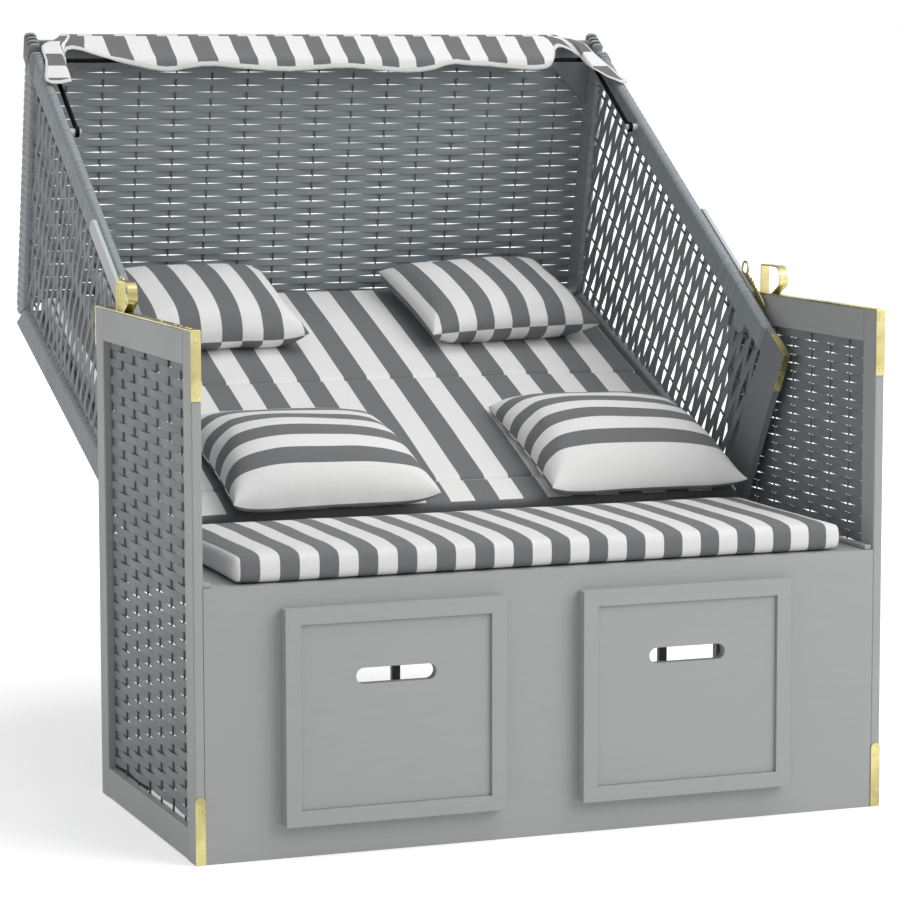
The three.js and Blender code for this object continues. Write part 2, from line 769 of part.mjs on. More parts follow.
// Lock rail outside the front stile, and the toothed rack with its pull ring on the rail's edge.
function hoodLock({ side, sign }) {
  const railFrom = hoodOuterHalf + fitGap;
  const railTo = railFrom + lockRailThickness;
  const pivotAlong = toe.clone().negate().dot(frontEdge);
  const start = pivotAlong + lockRailBottom;
  const end = start + lockRailLength;
  const corner = lockRailChamfer;
  const railPoints = [
    onFront(start, 0),
    onFront(start, lockRailWidth),
    onFront(end, lockRailWidth),
    onFront(end, corner),
    onFront(end - corner, 0),
  ];
  const railShape = outline(railPoints.reverse().map((point) => [point.x, point.y]));
  const rail = extrudeX(railShape, railFrom, railTo);
  addPiece(hood, `${side}_lock_rail`, handed(sign, rail), palePaint);

  const rackStart = pivotAlong - rackBelowPivot;
  const rackEnd = rackStart + rackLength;
  const front = -fitGap - rackWidth;
  const points = [onFront(rackStart, -fitGap)];
  points.push(onFront(rackEnd, -fitGap));
  points.push(onFront(rackEnd, front));
  const firstTooth = rackEnd - rackToothPitch;
  for (let i = 0; i < rackToothCount; i += 1) {
    const base = firstTooth - i * rackToothPitch;
    points.push(onFront(base, front));
    points.push(onFront(base, front - rackToothHeight));
    points.push(onFront(base - rackToothPitch / 2, front));
  }
  points.push(onFront(rackStart, front + rackWidth / 2));
  const rackFrom = railFrom + (lockRailThickness - rackThickness) / 2;
  const rackTo = rackFrom + rackThickness;
  const plate = extrudeX(outline(points.map((point) => [point.x, point.y])), rackFrom, rackTo);
  const ringCentre = onFront(rackEnd + rackRingRadius - rackWidth / 2, -fitGap - rackRingRadius);
  const ring = rodX(rackRingRadius, rackFrom, rackTo, ringCentre.x, ringCentre.y);
  const hole = rodX(rackRingHole, rackFrom - overrun, rackTo + overrun, ringCentre.x, ringCentre.y);
  addPiece(hood, `${side}_rack`, handed(sign, cut(joined(plate, ring), hole)), brass);
}

// Brass strap round the toe corner of each end board.
function cornerStrap({ side, sign }) {
  const gap = fitGap;
  const skin = gap + strapThickness;
  const place = (base, along, out) => base.clone().addScaledVector(along, out);
  const frontOut = frontInward.clone().negate();
  const bottomOut = bottomInward.clone().negate();
  const frontEnd = onFront(cornerStrapFrontLeg, 0);
  const bottomEnd = toe.clone().addScaledVector(bottomEdge, cornerStrapBottomLeg);
  const innerCorner = crossing(
    place(toe, frontOut, gap),
    frontEdge,
    place(toe, bottomOut, gap),
    bottomEdge,
  );
  const outerCorner = crossing(
    place(toe, frontOut, skin),
    frontEdge,
    place(toe, bottomOut, skin),
    bottomEdge,
  );
  const points = [
    place(frontEnd, frontOut, skin),
    outerCorner,
    place(bottomEnd, bottomOut, skin),
    place(bottomEnd, bottomOut, gap),
    innerCorner,
    place(frontEnd, frontOut, gap),
  ];
  const shape = outline(points.map((point) => [point.x, point.y]), [0, strapThickness, 0, 0, 0, 0]);
  const from = stileMiddle - endBoardThickness / 2;
  const strap = extrudeX(shape, from, from + endBoardThickness);
  addPiece(hood, `${side}_corner_strap`, handed(sign, strap), brass);
}

// Pin in each arm rail: a round plate on the rail, a collar that spaces the hood, and the pin.
function pivotPin({ side, sign }) {
  const plateFrom = innerHalf - pivotPlateThickness;
  const disc = rodX(pivotPlateRadius, plateFrom, innerHalf, pivotBack, pivotHeight, 32);
  const collar = rodX(pivotCollarRadius, hoodOuterHalf + fitGap, innerHalf, pivotBack, pivotHeight);
  const pinFrom = hoodOuterHalf - pivotBoreDepth + fitGap;
  const pin = rodX(pivotRadius, pinFrom, innerHalf, pivotBack, pivotHeight);
  addPiece(chair, `${side}_pivot_pin`, handed(sign, joined(disc, collar, pin)), brass);
}

// Rails and panels between the hood's sides.
const spanHalf = hoodInnerHalf - fitGap;

// Draws a flat piece in the roof plane: its shape is in X and the distance down from the peak.
function onRoof(shape, thickness, setback) {
  const geometry = extrude(shape, thickness).translate(0, 0, -setback - thickness);
  const down = new THREE.Vector3(0, roofEdge.x, roofEdge.y);
  const out = new THREE.Vector3(0, -roofInward.x, -roofInward.y);
  const place = new THREE.Matrix4().makeBasis(new THREE.Vector3(1, 0, 0), down, out);
  place.setPosition(0, peak.x, peak.y);
  return geometry.applyMatrix4(place);
}

function hoodPanels() {
  const rail = topRailSetback + topRailDepth;
  const reach = rail + gussetLeg;
  const topPoints = [
    [-spanHalf, topRailSetback],
    [spanHalf, topRailSetback],
    [spanHalf, reach],
    [spanHalf - gussetLeg, rail],
    [-spanHalf + gussetLeg, rail],
    [-spanHalf, reach],
  ];
  const railSetback = roofWeaveSetback + weaveThickness + fitGap;
  addPiece(hood, "top_rail", onRoof(outline(topPoints), topRailThickness, railSetback), greyWood);

  const roofLength = rearTop.distanceTo(peak);
  const roofShape = rectangle(-spanHalf, spanHalf, arris, roofLength - rearRailDepth);
  addPiece(hood, "roof_weave", onRoof(roofShape, weaveThickness, roofWeaveSetback), greyRattan);

  const railBack = hoodHeelBack - arris;
  const railTop = hoodTopBack - hoodCornerRadius / 2;
  const railSpan = [railTop - rearRailHeight, railTop];
  const railDepth = [railBack - rearRailDepth, railBack];
  addPiece(hood, "rear_rail", board("x", [-spanHalf, spanHalf], railDepth, railSpan), paleRattan);

  const weaveBack = hoodHeelBack - backWeaveSetback;
  const backShape = rectangle(
    weaveBack - weaveThickness,
    weaveBack,
    hoodHeelHeight + arris,
    railSpan[0] - fitGap,
  );
  addPiece(hood, "back_weave", extrudeX(backShape, -spanHalf, spanHalf), greyRattan);

  const boardFront = backrestSurface + backrestThickness + fitGap;
  const depth = [boardFront, boardFront + backBoardThickness];
  const height = [backBoardBottom, backBoardTop];
  addPiece(hood, "backrest_board", board("x", [-spanHalf, spanHalf], depth, height), greyWood);
}

// Stands a padded form up against the backrest: its face looks forward and its depth runs up.
function againstBack(mesh, x, forward, height, turn = 0) {
  mesh.rotation.x = Math.PI / 2;
  mesh.rotateZ(turn);
  mesh.position.set(x, forward, height);
}

function backrestCushion() {
  const seam = backrestThickness * cushionSeamHeightShare;
  const middle = (backrestTop + backrestBottom) / 2;
  const pad = padded({
    width: 2 * backrestHalfWidth,
    depth: backrestTop - backrestBottom,
    rise: backrestThickness - seam,
    fall: seam,
    power: 16,
    fullness: cushionCrownShare,
    drawIn: 0,
    columns: 18,
    rows: 18,
    channels: backrestSeams.map((height) => height - middle),
  });
  const mesh = addPiece(hood, "backrest_cushion", pad, stripedCloth);
  againstBack(mesh, 0, backrestSurface + backrestThickness - seam, middle);
}

// Pillow places on the backrest, chosen by hand. The edge is the pillow's nearest edge to the right
// or left side of the hood, or to the middle, and the gap is the way to it.
const pillowPlaces = {
  left_lap_pillow: { edge: "middle", gap: 48, forward: 230, height: -2, turn: 1 },
  right_lap_pillow: { edge: "right", gap: 22, forward: 230, height: -2, turn: 0 },
  left_head_pillow: { edge: "left", gap: 89, forward: 210, height: 572, turn: 2 },
  right_head_pillow: { edge: "right", gap: 69, forward: 210, height: 558, turn: 4 },
};

function pillowCentre({ edge, gap }, width) {
  if (edge === "right") return hoodInnerHalf - gap - width / 2;
  if (edge === "left") return -hoodInnerHalf + gap + width / 2;
  return -gap - width / 2;
}

function pillows() {
  for (const [name, spot] of Object.entries(pillowPlaces)) {
    const isLap = name.includes("lap");
    const width = isLap ? lapPillowSize : headPillowWidth;
    const pad = padded({
      width,
      depth: isLap ? lapPillowSize : headPillowHeight,
      rise: isLap ? lapPillowRise : headPillowRise,
      fall: isLap ? lapPillowFall : headPillowFall,
      power: 2.4,
      fullness: pillowCrownShare,
      drawIn: pillowDrawIn,
      columns: 16,
      rows: 16,
    });
    const mesh = addPiece(hood, name, pad, stripedCloth);
    const turn = THREE.MathUtils.degToRad(spot.turn);
    againstBack(mesh, pillowCentre(spot, width), spot.forward, spot.height, turn);
  }
}

// Awning bow: a rod bent to a U, with an eye at the end of each arm that turns on its boss.
const boss = new THREE.Vector2(bossForward, bossHeight);
const bowPlace = new THREE.Vector2(bowForward, bowHeight);
const bowArmLength = boss.distanceTo(bowPlace);
const bowWay = bowPlace.clone().sub(boss).normalize();
function awningBow() {
  const eyeOuter = hoodInnerHalf - bossLength - fitGap;
  const eyeInner = eyeOuter - bowEyeThickness;
  const armOuter = eyeOuter;
  const armInner = armOuter - bowRod;
  const half = bowRod / 2;
  const foot = bossRadius + fitGap;
  const tip = bowArmLength + half;
  const points = [
    [-armOuter, foot],
    [-armOuter, tip],
    [armOuter, tip],
    [armOuter, foot],
    [armInner, foot],
    [armInner, tip - bowRod],
    [-armInner, tip - bowRod],
    [-armInner, foot],
  ].reverse();
  const outerBend = bowCornerRadius;
  const innerBend = bowCornerRadius - bowRod;
  const radii = [0, innerBend, innerBend, 0, 0, outerBend, outerBend, 0];
  const chamfer = bowRod / 3;
  const settings = {
    bevelEnabled: true,
    bevelThickness: chamfer,
    bevelSize: chamfer,
    bevelOffset: -chamfer,
    bevelSegments: 1,
  };
  const rod = extrude(outline(points, radii), bowRod - 2 * chamfer, settings);
  rod.translate(0, 0, chamfer - half);
  const up = new THREE.Vector3(0, bowWay.x, bowWay.y);
  const out = new THREE.Vector3(0, -bowWay.y, bowWay.x);
  const place = new THREE.Matrix4().makeBasis(new THREE.Vector3(1, 0, 0), up, out);
  place.setPosition(0, boss.x, boss.y);
  rod.applyMatrix4(place);
  const pieces = [rod];
  const holes = [];
  for (const { sign } of sides) {
    pieces.push(rodX(bowEyeRadius, sign * eyeInner, sign * eyeOuter, boss.x, boss.y));
    const holeFrom = sign * (eyeInner - overrun);
    const holeTo = sign * (eyeOuter + overrun);
    holes.push(rodX(bossPinRadius + runningFit, holeFrom, holeTo, boss.x, boss.y));
  }
  addPiece(hood, "awning_bow", cut(joined(...pieces), ...holes), blackSteel);
}

// Striped canopy: from the front of the top rail, over the bow, to a hem that hangs in waves.
function canopy() {
  const down = new THREE.Vector2(Math.sin(recline), -Math.cos(recline));
  const ahead = new THREE.Vector2(-Math.cos(recline), -Math.sin(recline));
  const round = bowRod / 2 + canopyLift;
  const nearRail = peak.clone().addScaledVector(frontEdge, -canopyRailSetback);
  nearRail.addScaledVector(frontInward, -canopyRailGap);
  const over = new THREE.Vector2(-bowWay.y, bowWay.x);
  const overBow = bowPlace.clone().addScaledVector(over, round);
  const brow = over.clone().add(ahead).normalize().multiplyScalar(round).add(bowPlace);
  const inFront = bowPlace.clone().addScaledVector(ahead, round);
  const columns = 56;
  const places = [];
  const index = [];
  for (let i = 0; i <= columns; i += 1) {
    const u = (i / columns) * 2 - 1;
    const wave = Math.cos(u * Math.PI * hemWaveCount);
    const hem = inFront.clone().addScaledVector(down, hemDrop + wave * hemWave);
    hem.addScaledVector(ahead, (1 + wave) * hemBillow);
    const fold = inFront.clone().lerp(hem, 0.5).addScaledVector(ahead, hemBillow);
    const path = [nearRail, overBow, brow, inFront, fold, hem];
    path.forEach((point, k) => {
      const next = path[Math.min(k + 1, path.length - 1)];
      const run = next.clone().sub(path[Math.max(k - 1, 0)]).normalize();
      const outside = new THREE.Vector2(run.y, -run.x);
      const skin = point.clone().addScaledVector(outside, canopyThickness);
      places.push(u * canopyHalfWidth, skin.x, skin.y);
      places.push(u * canopyHalfWidth, point.x, point.y);
    });
  }
  const layers = 6;
  const at = (i, k, inside) => 2 * (i * layers + k) + inside;
  const quad = (a, b, c, d) => index.push(a, b, c, a, c, d);
  for (let i = 0; i < columns; i += 1) {
    for (let k = 0; k + 1 < layers; k += 1) {
      quad(at(i, k, 0), at(i, k + 1, 0), at(i + 1, k + 1, 0), at(i + 1, k, 0));
      quad(at(i, k, 1), at(i + 1, k, 1), at(i + 1, k + 1, 1), at(i, k + 1, 1));
    }
    quad(at(i, 0, 0), at(i + 1, 0, 0), at(i + 1, 0, 1), at(i, 0, 1));
    const end = layers - 1;
    quad(at(i, end, 0), at(i, end, 1), at(i + 1, end, 1), at(i + 1, end, 0));
  }
  for (let k = 0; k + 1 < layers; k += 1) {
    quad(at(0, k, 0), at(0, k, 1), at(0, k + 1, 1), at(0, k + 1, 0));
    quad(at(columns, k, 0), at(columns, k + 1, 0), at(columns, k + 1, 1), at(columns, k, 1));
  }
  const geometry = new THREE.BufferGeometry();
  geometry.setAttribute("position", new THREE.Float32BufferAttribute(places, 3));
  geometry.setIndex(index);
  geometry.computeVertexNormals();
  addPiece(hood, "awning_canopy", geometry, stripedCloth);
}

for (const hand of sides) {
  sideFrame(hand);
  armStrap(hand);
  footStrap(hand);
  latchHoop(hand);
  pivotPin(hand);
  footrest(hand);
  hoodSide(hand);
  hoodLock(hand);
  cornerStrap(hand);
}
frontBoard();
rearFrame();
seatBoard();
seatCushion();
hoodPanels();
backrestCushion();
pillows();
awningBow();
canopy();

// The origin is on the ground, under the middle of the whole chair as it stands at rest.
const whole = new THREE.Box3();
chair.updateMatrixWorld(true);
chair.traverse((piece) => {
  if (piece.isMesh) whole.expandByObject(piece, true);
});
const middle = whole.getCenter(new THREE.Vector3());
chair.position.set(-middle.x, -middle.y, -whole.min.z);

export default chair;
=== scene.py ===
"""Dresses the hooded beach chair: woven panels, wrapped stiles, cushions, awning and finishes.

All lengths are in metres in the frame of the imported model: +X to the right as seen from the
front, +Y to the back, +Z up, with the origin on the ground under the middle of the chair.
"""

import logging
import math
from dataclasses import dataclass, field
from enum import Enum
from typing import Callable, Optional, Sequence

import bmesh
import bpy
from mathutils import Matrix, Vector, noise

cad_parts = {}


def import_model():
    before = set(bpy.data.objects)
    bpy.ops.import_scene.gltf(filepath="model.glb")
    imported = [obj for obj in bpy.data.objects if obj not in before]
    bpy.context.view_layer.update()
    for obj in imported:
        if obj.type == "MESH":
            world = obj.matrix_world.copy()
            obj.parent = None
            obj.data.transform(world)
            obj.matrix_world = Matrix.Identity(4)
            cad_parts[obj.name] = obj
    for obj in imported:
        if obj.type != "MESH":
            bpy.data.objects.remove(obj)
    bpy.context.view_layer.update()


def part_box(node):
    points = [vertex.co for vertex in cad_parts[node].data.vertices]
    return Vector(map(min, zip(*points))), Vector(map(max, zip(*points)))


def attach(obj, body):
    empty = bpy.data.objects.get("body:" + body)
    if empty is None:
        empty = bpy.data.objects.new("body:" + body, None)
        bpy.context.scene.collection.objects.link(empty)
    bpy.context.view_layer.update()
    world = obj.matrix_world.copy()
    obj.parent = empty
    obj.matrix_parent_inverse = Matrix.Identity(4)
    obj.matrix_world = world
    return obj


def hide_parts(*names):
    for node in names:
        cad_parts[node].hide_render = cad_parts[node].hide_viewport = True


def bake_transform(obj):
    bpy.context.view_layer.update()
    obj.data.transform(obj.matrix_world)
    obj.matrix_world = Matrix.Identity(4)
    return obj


LOG = logging.getLogger("beach_chair")
MM = 0.001
REAR_SHIFT = -0.6200171
RECLINE = math.radians(68.6)
PIVOT = Vector((0.0, 0.459 + REAR_SHIFT, 0.778))
HOOD = Matrix.Translation(PIVOT) @ Matrix.Rotation(-RECLINE, 4, "X")
ACROSS = Vector((1.0, 0.0, 0.0))
BACKWARDS = Vector((0.0, 1.0, 0.0))
UPWARDS = Vector((0.0, 0.0, 1.0))
FACING_FRONT = Matrix.Rotation(math.pi / 2, 4, "X")
FACING_REAR = Matrix.Rotation(-math.pi / 2, 4, "X")
FACING_UP = Matrix.Identity(4)

# Where a cushion is cut beside each seam, and how far its light cord reaches from the seam.
CORD_HALF = 0.0011
SEAM_CUTS = (-0.010, -0.0035, -CORD_HALF, 0.0, CORD_HALF, 0.0035, 0.010)

Point = tuple[float, float]
Point3 = tuple[float, float, float]
Color = tuple[float, float, float, float]
Socket = bpy.types.NodeSocket
Sockets = bpy.types.bpy_prop_collection


class Side(Enum):
    """The two sides of the chair, as seen from the front."""

    LEFT = -1
    RIGHT = 1

    @property
    def label(self) -> str:
        """Return the word that starts the node names of this side."""
        return self.name.lower()


class Run(Enum):
    """The way that a pattern or a grain runs on a piece."""

    ACROSS = "across"
    ALONG = "along"
    UP = "up"


def srgb(red: int, green: int, blue: int) -> Color:
    """Turn a display colour into the linear colour that a shader takes.

    Args:
        red: red from 0 to 255.
        green: green from 0 to 255.
        blue: blue from 0 to 255.

    Returns:
        The linear colour with an alpha of one.
    """

    def linear(value: int) -> float:
        """Return the linear share of one channel."""
        share = value / 255
        return share / 12.92 if share <= 0.04045 else ((share + 0.055) / 1.055) ** 2.4

    return linear(red), linear(green), linear(blue), 1.0


def placed_object(name: str, data: bpy.types.ID) -> bpy.types.Object:
    """Make an object from its data, and link it to the scene."""
    piece = bpy.data.objects.new(name, data)
    bpy.context.scene.collection.objects.link(piece)
    return piece


def mesh_object(
    name: str, bm: bmesh.types.BMesh, *materials: bpy.types.Material, smooth: bool = False
) -> bpy.types.Object:
    """Make an object at the origin from a bmesh, and free the bmesh.

    Args:
        name: the new object's name.
        bm: the finished mesh, in the frame of the chair.
        *materials: its finishes, by the material index of its faces.
        smooth: whether the faces shade smooth.

    Returns:
        The new object, linked to the scene.
    """
    mesh = bpy.data.meshes.new(name)
    bm.to_mesh(mesh)
    bm.free()
    for polygon in mesh.polygons:
        polygon.use_smooth = smooth
    for material in materials:
        mesh.materials.append(material)
    return placed_object(name, mesh)


def round_edges(
    bm: bmesh.types.BMesh, edges: list[bmesh.types.BMEdge], offset: float, segments: int = 2
) -> None:
    """Round edges of a mesh.

    Args:
        bm: the mesh.
        edges: the edges to round.
        offset: how far the rounding reaches from each edge.
        segments: the number of faces across the rounding.
    """
    bmesh.ops.bevel(
        bm,
        geom=edges,
        offset=offset,
        offset_type="OFFSET",
        segments=segments,
        profile=0.5,
        affect="EDGES",
        material=-1,
    )


def cut_along(bm: bmesh.types.BMesh, place: Vector, normal: Vector, near: float) -> None:
    """Cut a mesh along a plane, and keep both halves.

    Args:
        bm: the mesh.
        place: a point of the plane.
        normal: the plane's normal.
        near: how near a point counts as on the plane.
    """
    everything = bm.verts[:] + bm.edges[:] + bm.faces[:]
    bmesh.ops.bisect_plane(bm, geom=everything, plane_co=place, plane_no=normal, dist=near)


class Tree:
    """Adds and links the nodes of one material, world or node group."""

    def __init__(self, tree: bpy.types.NodeTree) -> None:
        """Keep the tree that the nodes go into."""
        self.tree = tree

    def add(self, kind: str, *values: object, **settings: object) -> bpy.types.Node:
        """Add a node, and feed its first inputs in their order.

        Args:
            kind: the node's type name without its ShaderNode prefix.
            *values: sockets or plain values for the first inputs.
            **settings: the node's own properties.

        Returns:
            The new node.
        """
        prefix = "" if kind.startswith("Node") else "ShaderNode"
        node = self.tree.nodes.new(prefix + kind)
        for key, value in settings.items():
            setattr(node, key, value)
        for socket, value in zip(node.inputs, values):
            self.feed(socket, value)
        return node

    def feed(self, socket: Socket, value: object) -> None:
        """Link a socket to another, or set its own value.

        Args:
            socket: the input that is fed.
            value: an output socket, or a plain value.
        """
        if isinstance(value, Socket):
            self.tree.links.new(value, socket)
        else:
            socket.default_value = value

    def math(self, operation: str, first: object, second: object = 0.0) -> Socket:
        """Add a Math node on two values, and return its output."""
        return self.add("Math", first, second, operation=operation).outputs[0]

    def mix(self, factor: object, low: object, high: object) -> Socket:
        """Add a colour mix.

        Args:
            factor: the share of the second colour.
            low: the first colour or socket.
            high: the second colour or socket.

        Returns:
            The mixed colour.
        """
        node = self.add("Mix", data_type="RGBA")
        self.feed(node.inputs["Factor"], factor)
        self.feed(node.inputs[6], low)
        self.feed(node.inputs[7], high)
        return node.outputs[2]

    def ramp(
        self, value: object, low: float, high: float, start: float = 0.0, end: float = 1.0
    ) -> Socket:
        """Add a node that maps one range to another.

        Args:
            value: what is mapped.
            low: the value that gives the start.
            high: the value that gives the end.
            start: the first result.
            end: the last result.

        Returns:
            The result.
        """
        return self.add("MapRange", value, low, high, start, end).outputs[0]

    def effect(self, group: bpy.types.NodeTree, **values: object) -> Sockets:
        """Add a node group.

        Args:
            group: the group's tree.
            **values: sockets or plain values, by the names of the group's inputs.

        Returns:
            The group's outputs, by name.
        """
        node = self.add("Group", node_tree=group)
        for label, value in values.items():
            self.feed(node.inputs[label], value)
        return node.outputs

    def noise(self, vector: object, scale: float, detail: float = 3.0) -> Socket:
        """Add a Noise Texture.

        Args:
            vector: the coordinates.
            scale: the number of features in a metre.
            detail: the number of octaves.

        Returns:
            The noise from 0 to 1.
        """
        node = self.add("TexNoise")
        self.feed(node.inputs["Vector"], vector)
        node.inputs["Scale"].default_value = scale
        node.inputs["Detail"].default_value = detail
        return node.outputs["Fac"]

    def stretched(self, vector: object, scale: Sequence[float]) -> Socket:
        """Return coordinates stretched along each axis."""
        node = self.add("Mapping", vector)
        node.inputs["Scale"].default_value = scale
        return node.outputs[0]

    def placed(self, vector: object, matrix: Matrix, scale: Sequence[float]) -> Socket:
        """Turn coordinates into a piece's own frame, and stretch them there.

        Args:
            vector: coordinates in the frame of the chair.
            matrix: the piece's frame; only a turn and a shift.
            scale: the stretch along each of its axes.

        Returns:
            The coordinates in the piece's frame.
        """
        back = matrix.inverted()
        turn = self.add("Mapping", vector)
        turn.inputs["Location"].default_value = back.to_translation()
        turn.inputs["Rotation"].default_value = back.to_euler("XYZ")
        return self.stretched(turn.outputs[0], scale)


def empty_tree(owner: bpy.types.ID) -> Tree:
    """Return the emptied node tree of a material or a world."""
    owner.use_nodes = True
    owner.node_tree.nodes.clear()
    return Tree(owner.node_tree)


class Effects:
    """Builds the shader node groups that several materials share, each one once."""

    def __init__(self) -> None:
        """Start with no group made."""
        self.made: dict[str, bpy.types.NodeTree] = {}

    def _group(
        self,
        name: str,
        inputs: dict[str, Optional[float]],
        fill: Callable[[Tree, Sockets], dict[str, Socket]],
    ) -> bpy.types.NodeTree:
        """Make a named group once, and give it back after that.

        Args:
            name: the group's name.
            inputs: each input's name and default, which is None for a vector.
            fill: adds the nodes from the inputs on, and returns the outputs by name.

        Returns:
            The group's node tree.
        """
        if name in self.made:
            return self.made[name]
        group = bpy.data.node_groups.new(name, "ShaderNodeTree")
        for label, value in inputs.items():
            kind = "NodeSocketVector" if value is None else "NodeSocketFloat"
            socket = group.interface.new_socket(label, in_out="INPUT", socket_type=kind)
            if value is not None:
                socket.default_value = value
        tree = Tree(group)
        results = fill(tree, tree.add("NodeGroupInput").outputs)
        for label in results:
            group.interface.new_socket(label, in_out="OUTPUT", socket_type="NodeSocketFloat")
        target = tree.add("NodeGroupOutput")
        for label, value in results.items():
            tree.feed(target.inputs[label], value)
        self.made[name] = group
        return group

    def grain(self) -> bpy.types.NodeTree:
        """Return the group for painted wood: streaks under the paint and rubbed spots."""

        def fill(tree: Tree, given: Sockets) -> dict[str, Socket]:
            """Blend fine streaks with broad ones."""
            streak = tree.noise(given["Vector"], 26.0, 5.0)
            broad = tree.math("MULTIPLY", tree.noise(given["Vector"], 4.0, 2.0), 0.35)
            blend = tree.math("ADD", tree.math("MULTIPLY", streak, 0.65), broad)
            centred = tree.math("SUBTRACT", blend, 0.5)
            tint = tree.math("MULTIPLY", centred, given["Strength"])
            return {"Tint": tree.math("ADD", tint, 0.5), "Height": streak}

        return self._group("Painted grain", {"Vector": None, "Strength": 1.0}, fill)

    def wear(self) -> bpy.types.NodeTree:
        """Return the group for light wear: soft dull patches and fine specks."""

        def fill(tree: Tree, given: Sockets) -> dict[str, Socket]:
            """Cut specks out of a fine noise, and lay patches beside them."""
            patch = tree.noise(given["Vector"], 9.0, 4.0)
            speck = tree.ramp(tree.noise(given["Vector"], 260.0, 2.0), 0.62, 0.74)
            return {"Specks": tree.math("MULTIPLY", speck, given["Amount"]), "Patches": patch}

        return self._group("Light wear", {"Vector": None, "Amount": 0.3}, fill)

    def stripes(self) -> bpy.types.NodeTree:
        """Return the group for woven stripes: a band mask from a distance, with soft edges."""

        def fill(tree: Tree, given: Sockets) -> dict[str, Socket]:
            """Fold the distance into one period, and cut it in half."""
            shifted = tree.math("SUBTRACT", given["Distance"], given["Start"])
            wave = tree.math("FRACT", tree.math("DIVIDE", shifted, given["Period"]))
            far = tree.math("ABSOLUTE", tree.math("SUBTRACT", wave, 0.5))
            return {"Mask": tree.ramp(far, 0.244, 0.256)}

        return self._group("Woven stripes", {"Distance": 0.0, "Start": 0.0, "Period": 0.09}, fill)

    def threads(self) -> bpy.types.NodeTree:
        """Return the group for plain-weave cloth: crossing threads and slubs."""

        def fill(tree: Tree, given: Sockets) -> dict[str, Socket]:
            """Cross two waves, and add slubs."""
            waves = []
            for direction in "XY":
                wave = tree.add("TexWave", wave_type="BANDS", bands_direction=direction)
                tree.feed(wave.inputs["Vector"], given["Vector"])
                tree.feed(wave.inputs["Scale"], given["Count"])
                wave.inputs["Distortion"].default_value = 0.6
                waves.append(wave.outputs["Fac"])
            slub = tree.noise(given["Vector"], 160.0, 3.0)
            raised = tree.math("MULTIPLY", slub, 0.7)
            return {"Height": tree.math("ADD", tree.math("MULTIPLY", *waves), raised), "Slub": slub}

        return self._group("Cloth threads", {"Vector": None, "Count": 180.0}, fill)


EFFECTS = Effects()


@dataclass(frozen=True)
class Finish:
    """A finish, from which a material is built."""

    name: str
    color: Color
    roughness: float

    def start(self) -> tuple[bpy.types.Material, Tree, bpy.types.Node, Socket]:
        """Make an empty material with its shader.

        Returns:
            The material, its tree, its shader node and the object coordinates.
        """
        material = bpy.data.materials.new(self.name)
        tree = empty_tree(material)
        shader = tree.add("BsdfPrincipled")
        tree.add("OutputMaterial", shader.outputs[0])
        shader.inputs["Base Color"].default_value = self.color
        shader.inputs["Roughness"].default_value = self.roughness
        return material, tree, shader, tree.add("TexCoord").outputs["Object"]

    def shade(self, share: float) -> Color:
        """Return the colour, darker or lighter by a share."""
        return tuple(min(1.0, share * c) for c in self.color[:3]) + (1.0,)

    def roughen(
        self, tree: Tree, shader: bpy.types.Node, value: Socket, share: float, least: float
    ) -> None:
        """Feed a varied roughness into the shader.

        Args:
            tree: the material's tree.
            shader: the shader node.
            value: what varies, from 0 to 1.
            share: how much it adds at most.
            least: the lowest roughness.
        """
        varied = tree.math("MULTIPLY", value, share)
        tree.feed(shader.inputs["Roughness"], tree.math("ADD", varied, least))

    def bump(
        self,
        tree: Tree,
        shader: bpy.types.Node,
        height: object,
        strength: float,
        depth: float,
        edge: float = 0.0,
    ) -> None:
        """Feed a height into the shader's normal.

        Args:
            tree: the material's tree.
            shader: the shader node.
            height: the height from 0 to 1.
            strength: the bump's strength.
            depth: the height's real depth in metres.
            edge: how far hard edges shade as if they were rounded, or 0.
        """
        node = tree.add("Bump")
        if edge:
            soft = tree.add("Bevel", edge, samples=4)
            tree.feed(node.inputs["Normal"], soft.outputs[0])
        node.inputs["Strength"].default_value = strength
        node.inputs["Distance"].default_value = depth
        tree.feed(node.inputs["Height"], height)
        tree.feed(shader.inputs["Normal"], node.outputs[0])


@dataclass(frozen=True)
class PaintedWood(Finish):
    """Opaque paint on a board, with its grain still a little raised."""

    frame: Matrix = field(default_factory=lambda: Matrix.Identity(4))
    run: Run = Run.UP

    def build(self) -> bpy.types.Material:
        """Return the material."""
        material, tree, shader, place = self.start()
        stretch = {
            Run.ACROSS: (1.0, 12.0, 12.0),
            Run.ALONG: (12.0, 1.0, 12.0),
            Run.UP: (12.0, 12.0, 1.0),
        }[self.run]
        vector = tree.placed(place, self.frame, stretch)
        grain = tree.effect(EFFECTS.grain(), Vector=vector, Strength=0.5)
        wear = tree.effect(EFFECTS.wear(), Vector=place, Amount=0.22)
        light = self.shade(1.13)
        painted = tree.mix(grain["Tint"], self.shade(0.86), light)
        tree.feed(shader.inputs["Base Color"], tree.mix(wear["Specks"], painted, light))
        self.roughen(tree, shader, wear["Patches"], 0.2, self.roughness - 0.1)
        self.bump(tree, shader, grain["Height"], 0.35, 0.0003, edge=0.0011)
        return material


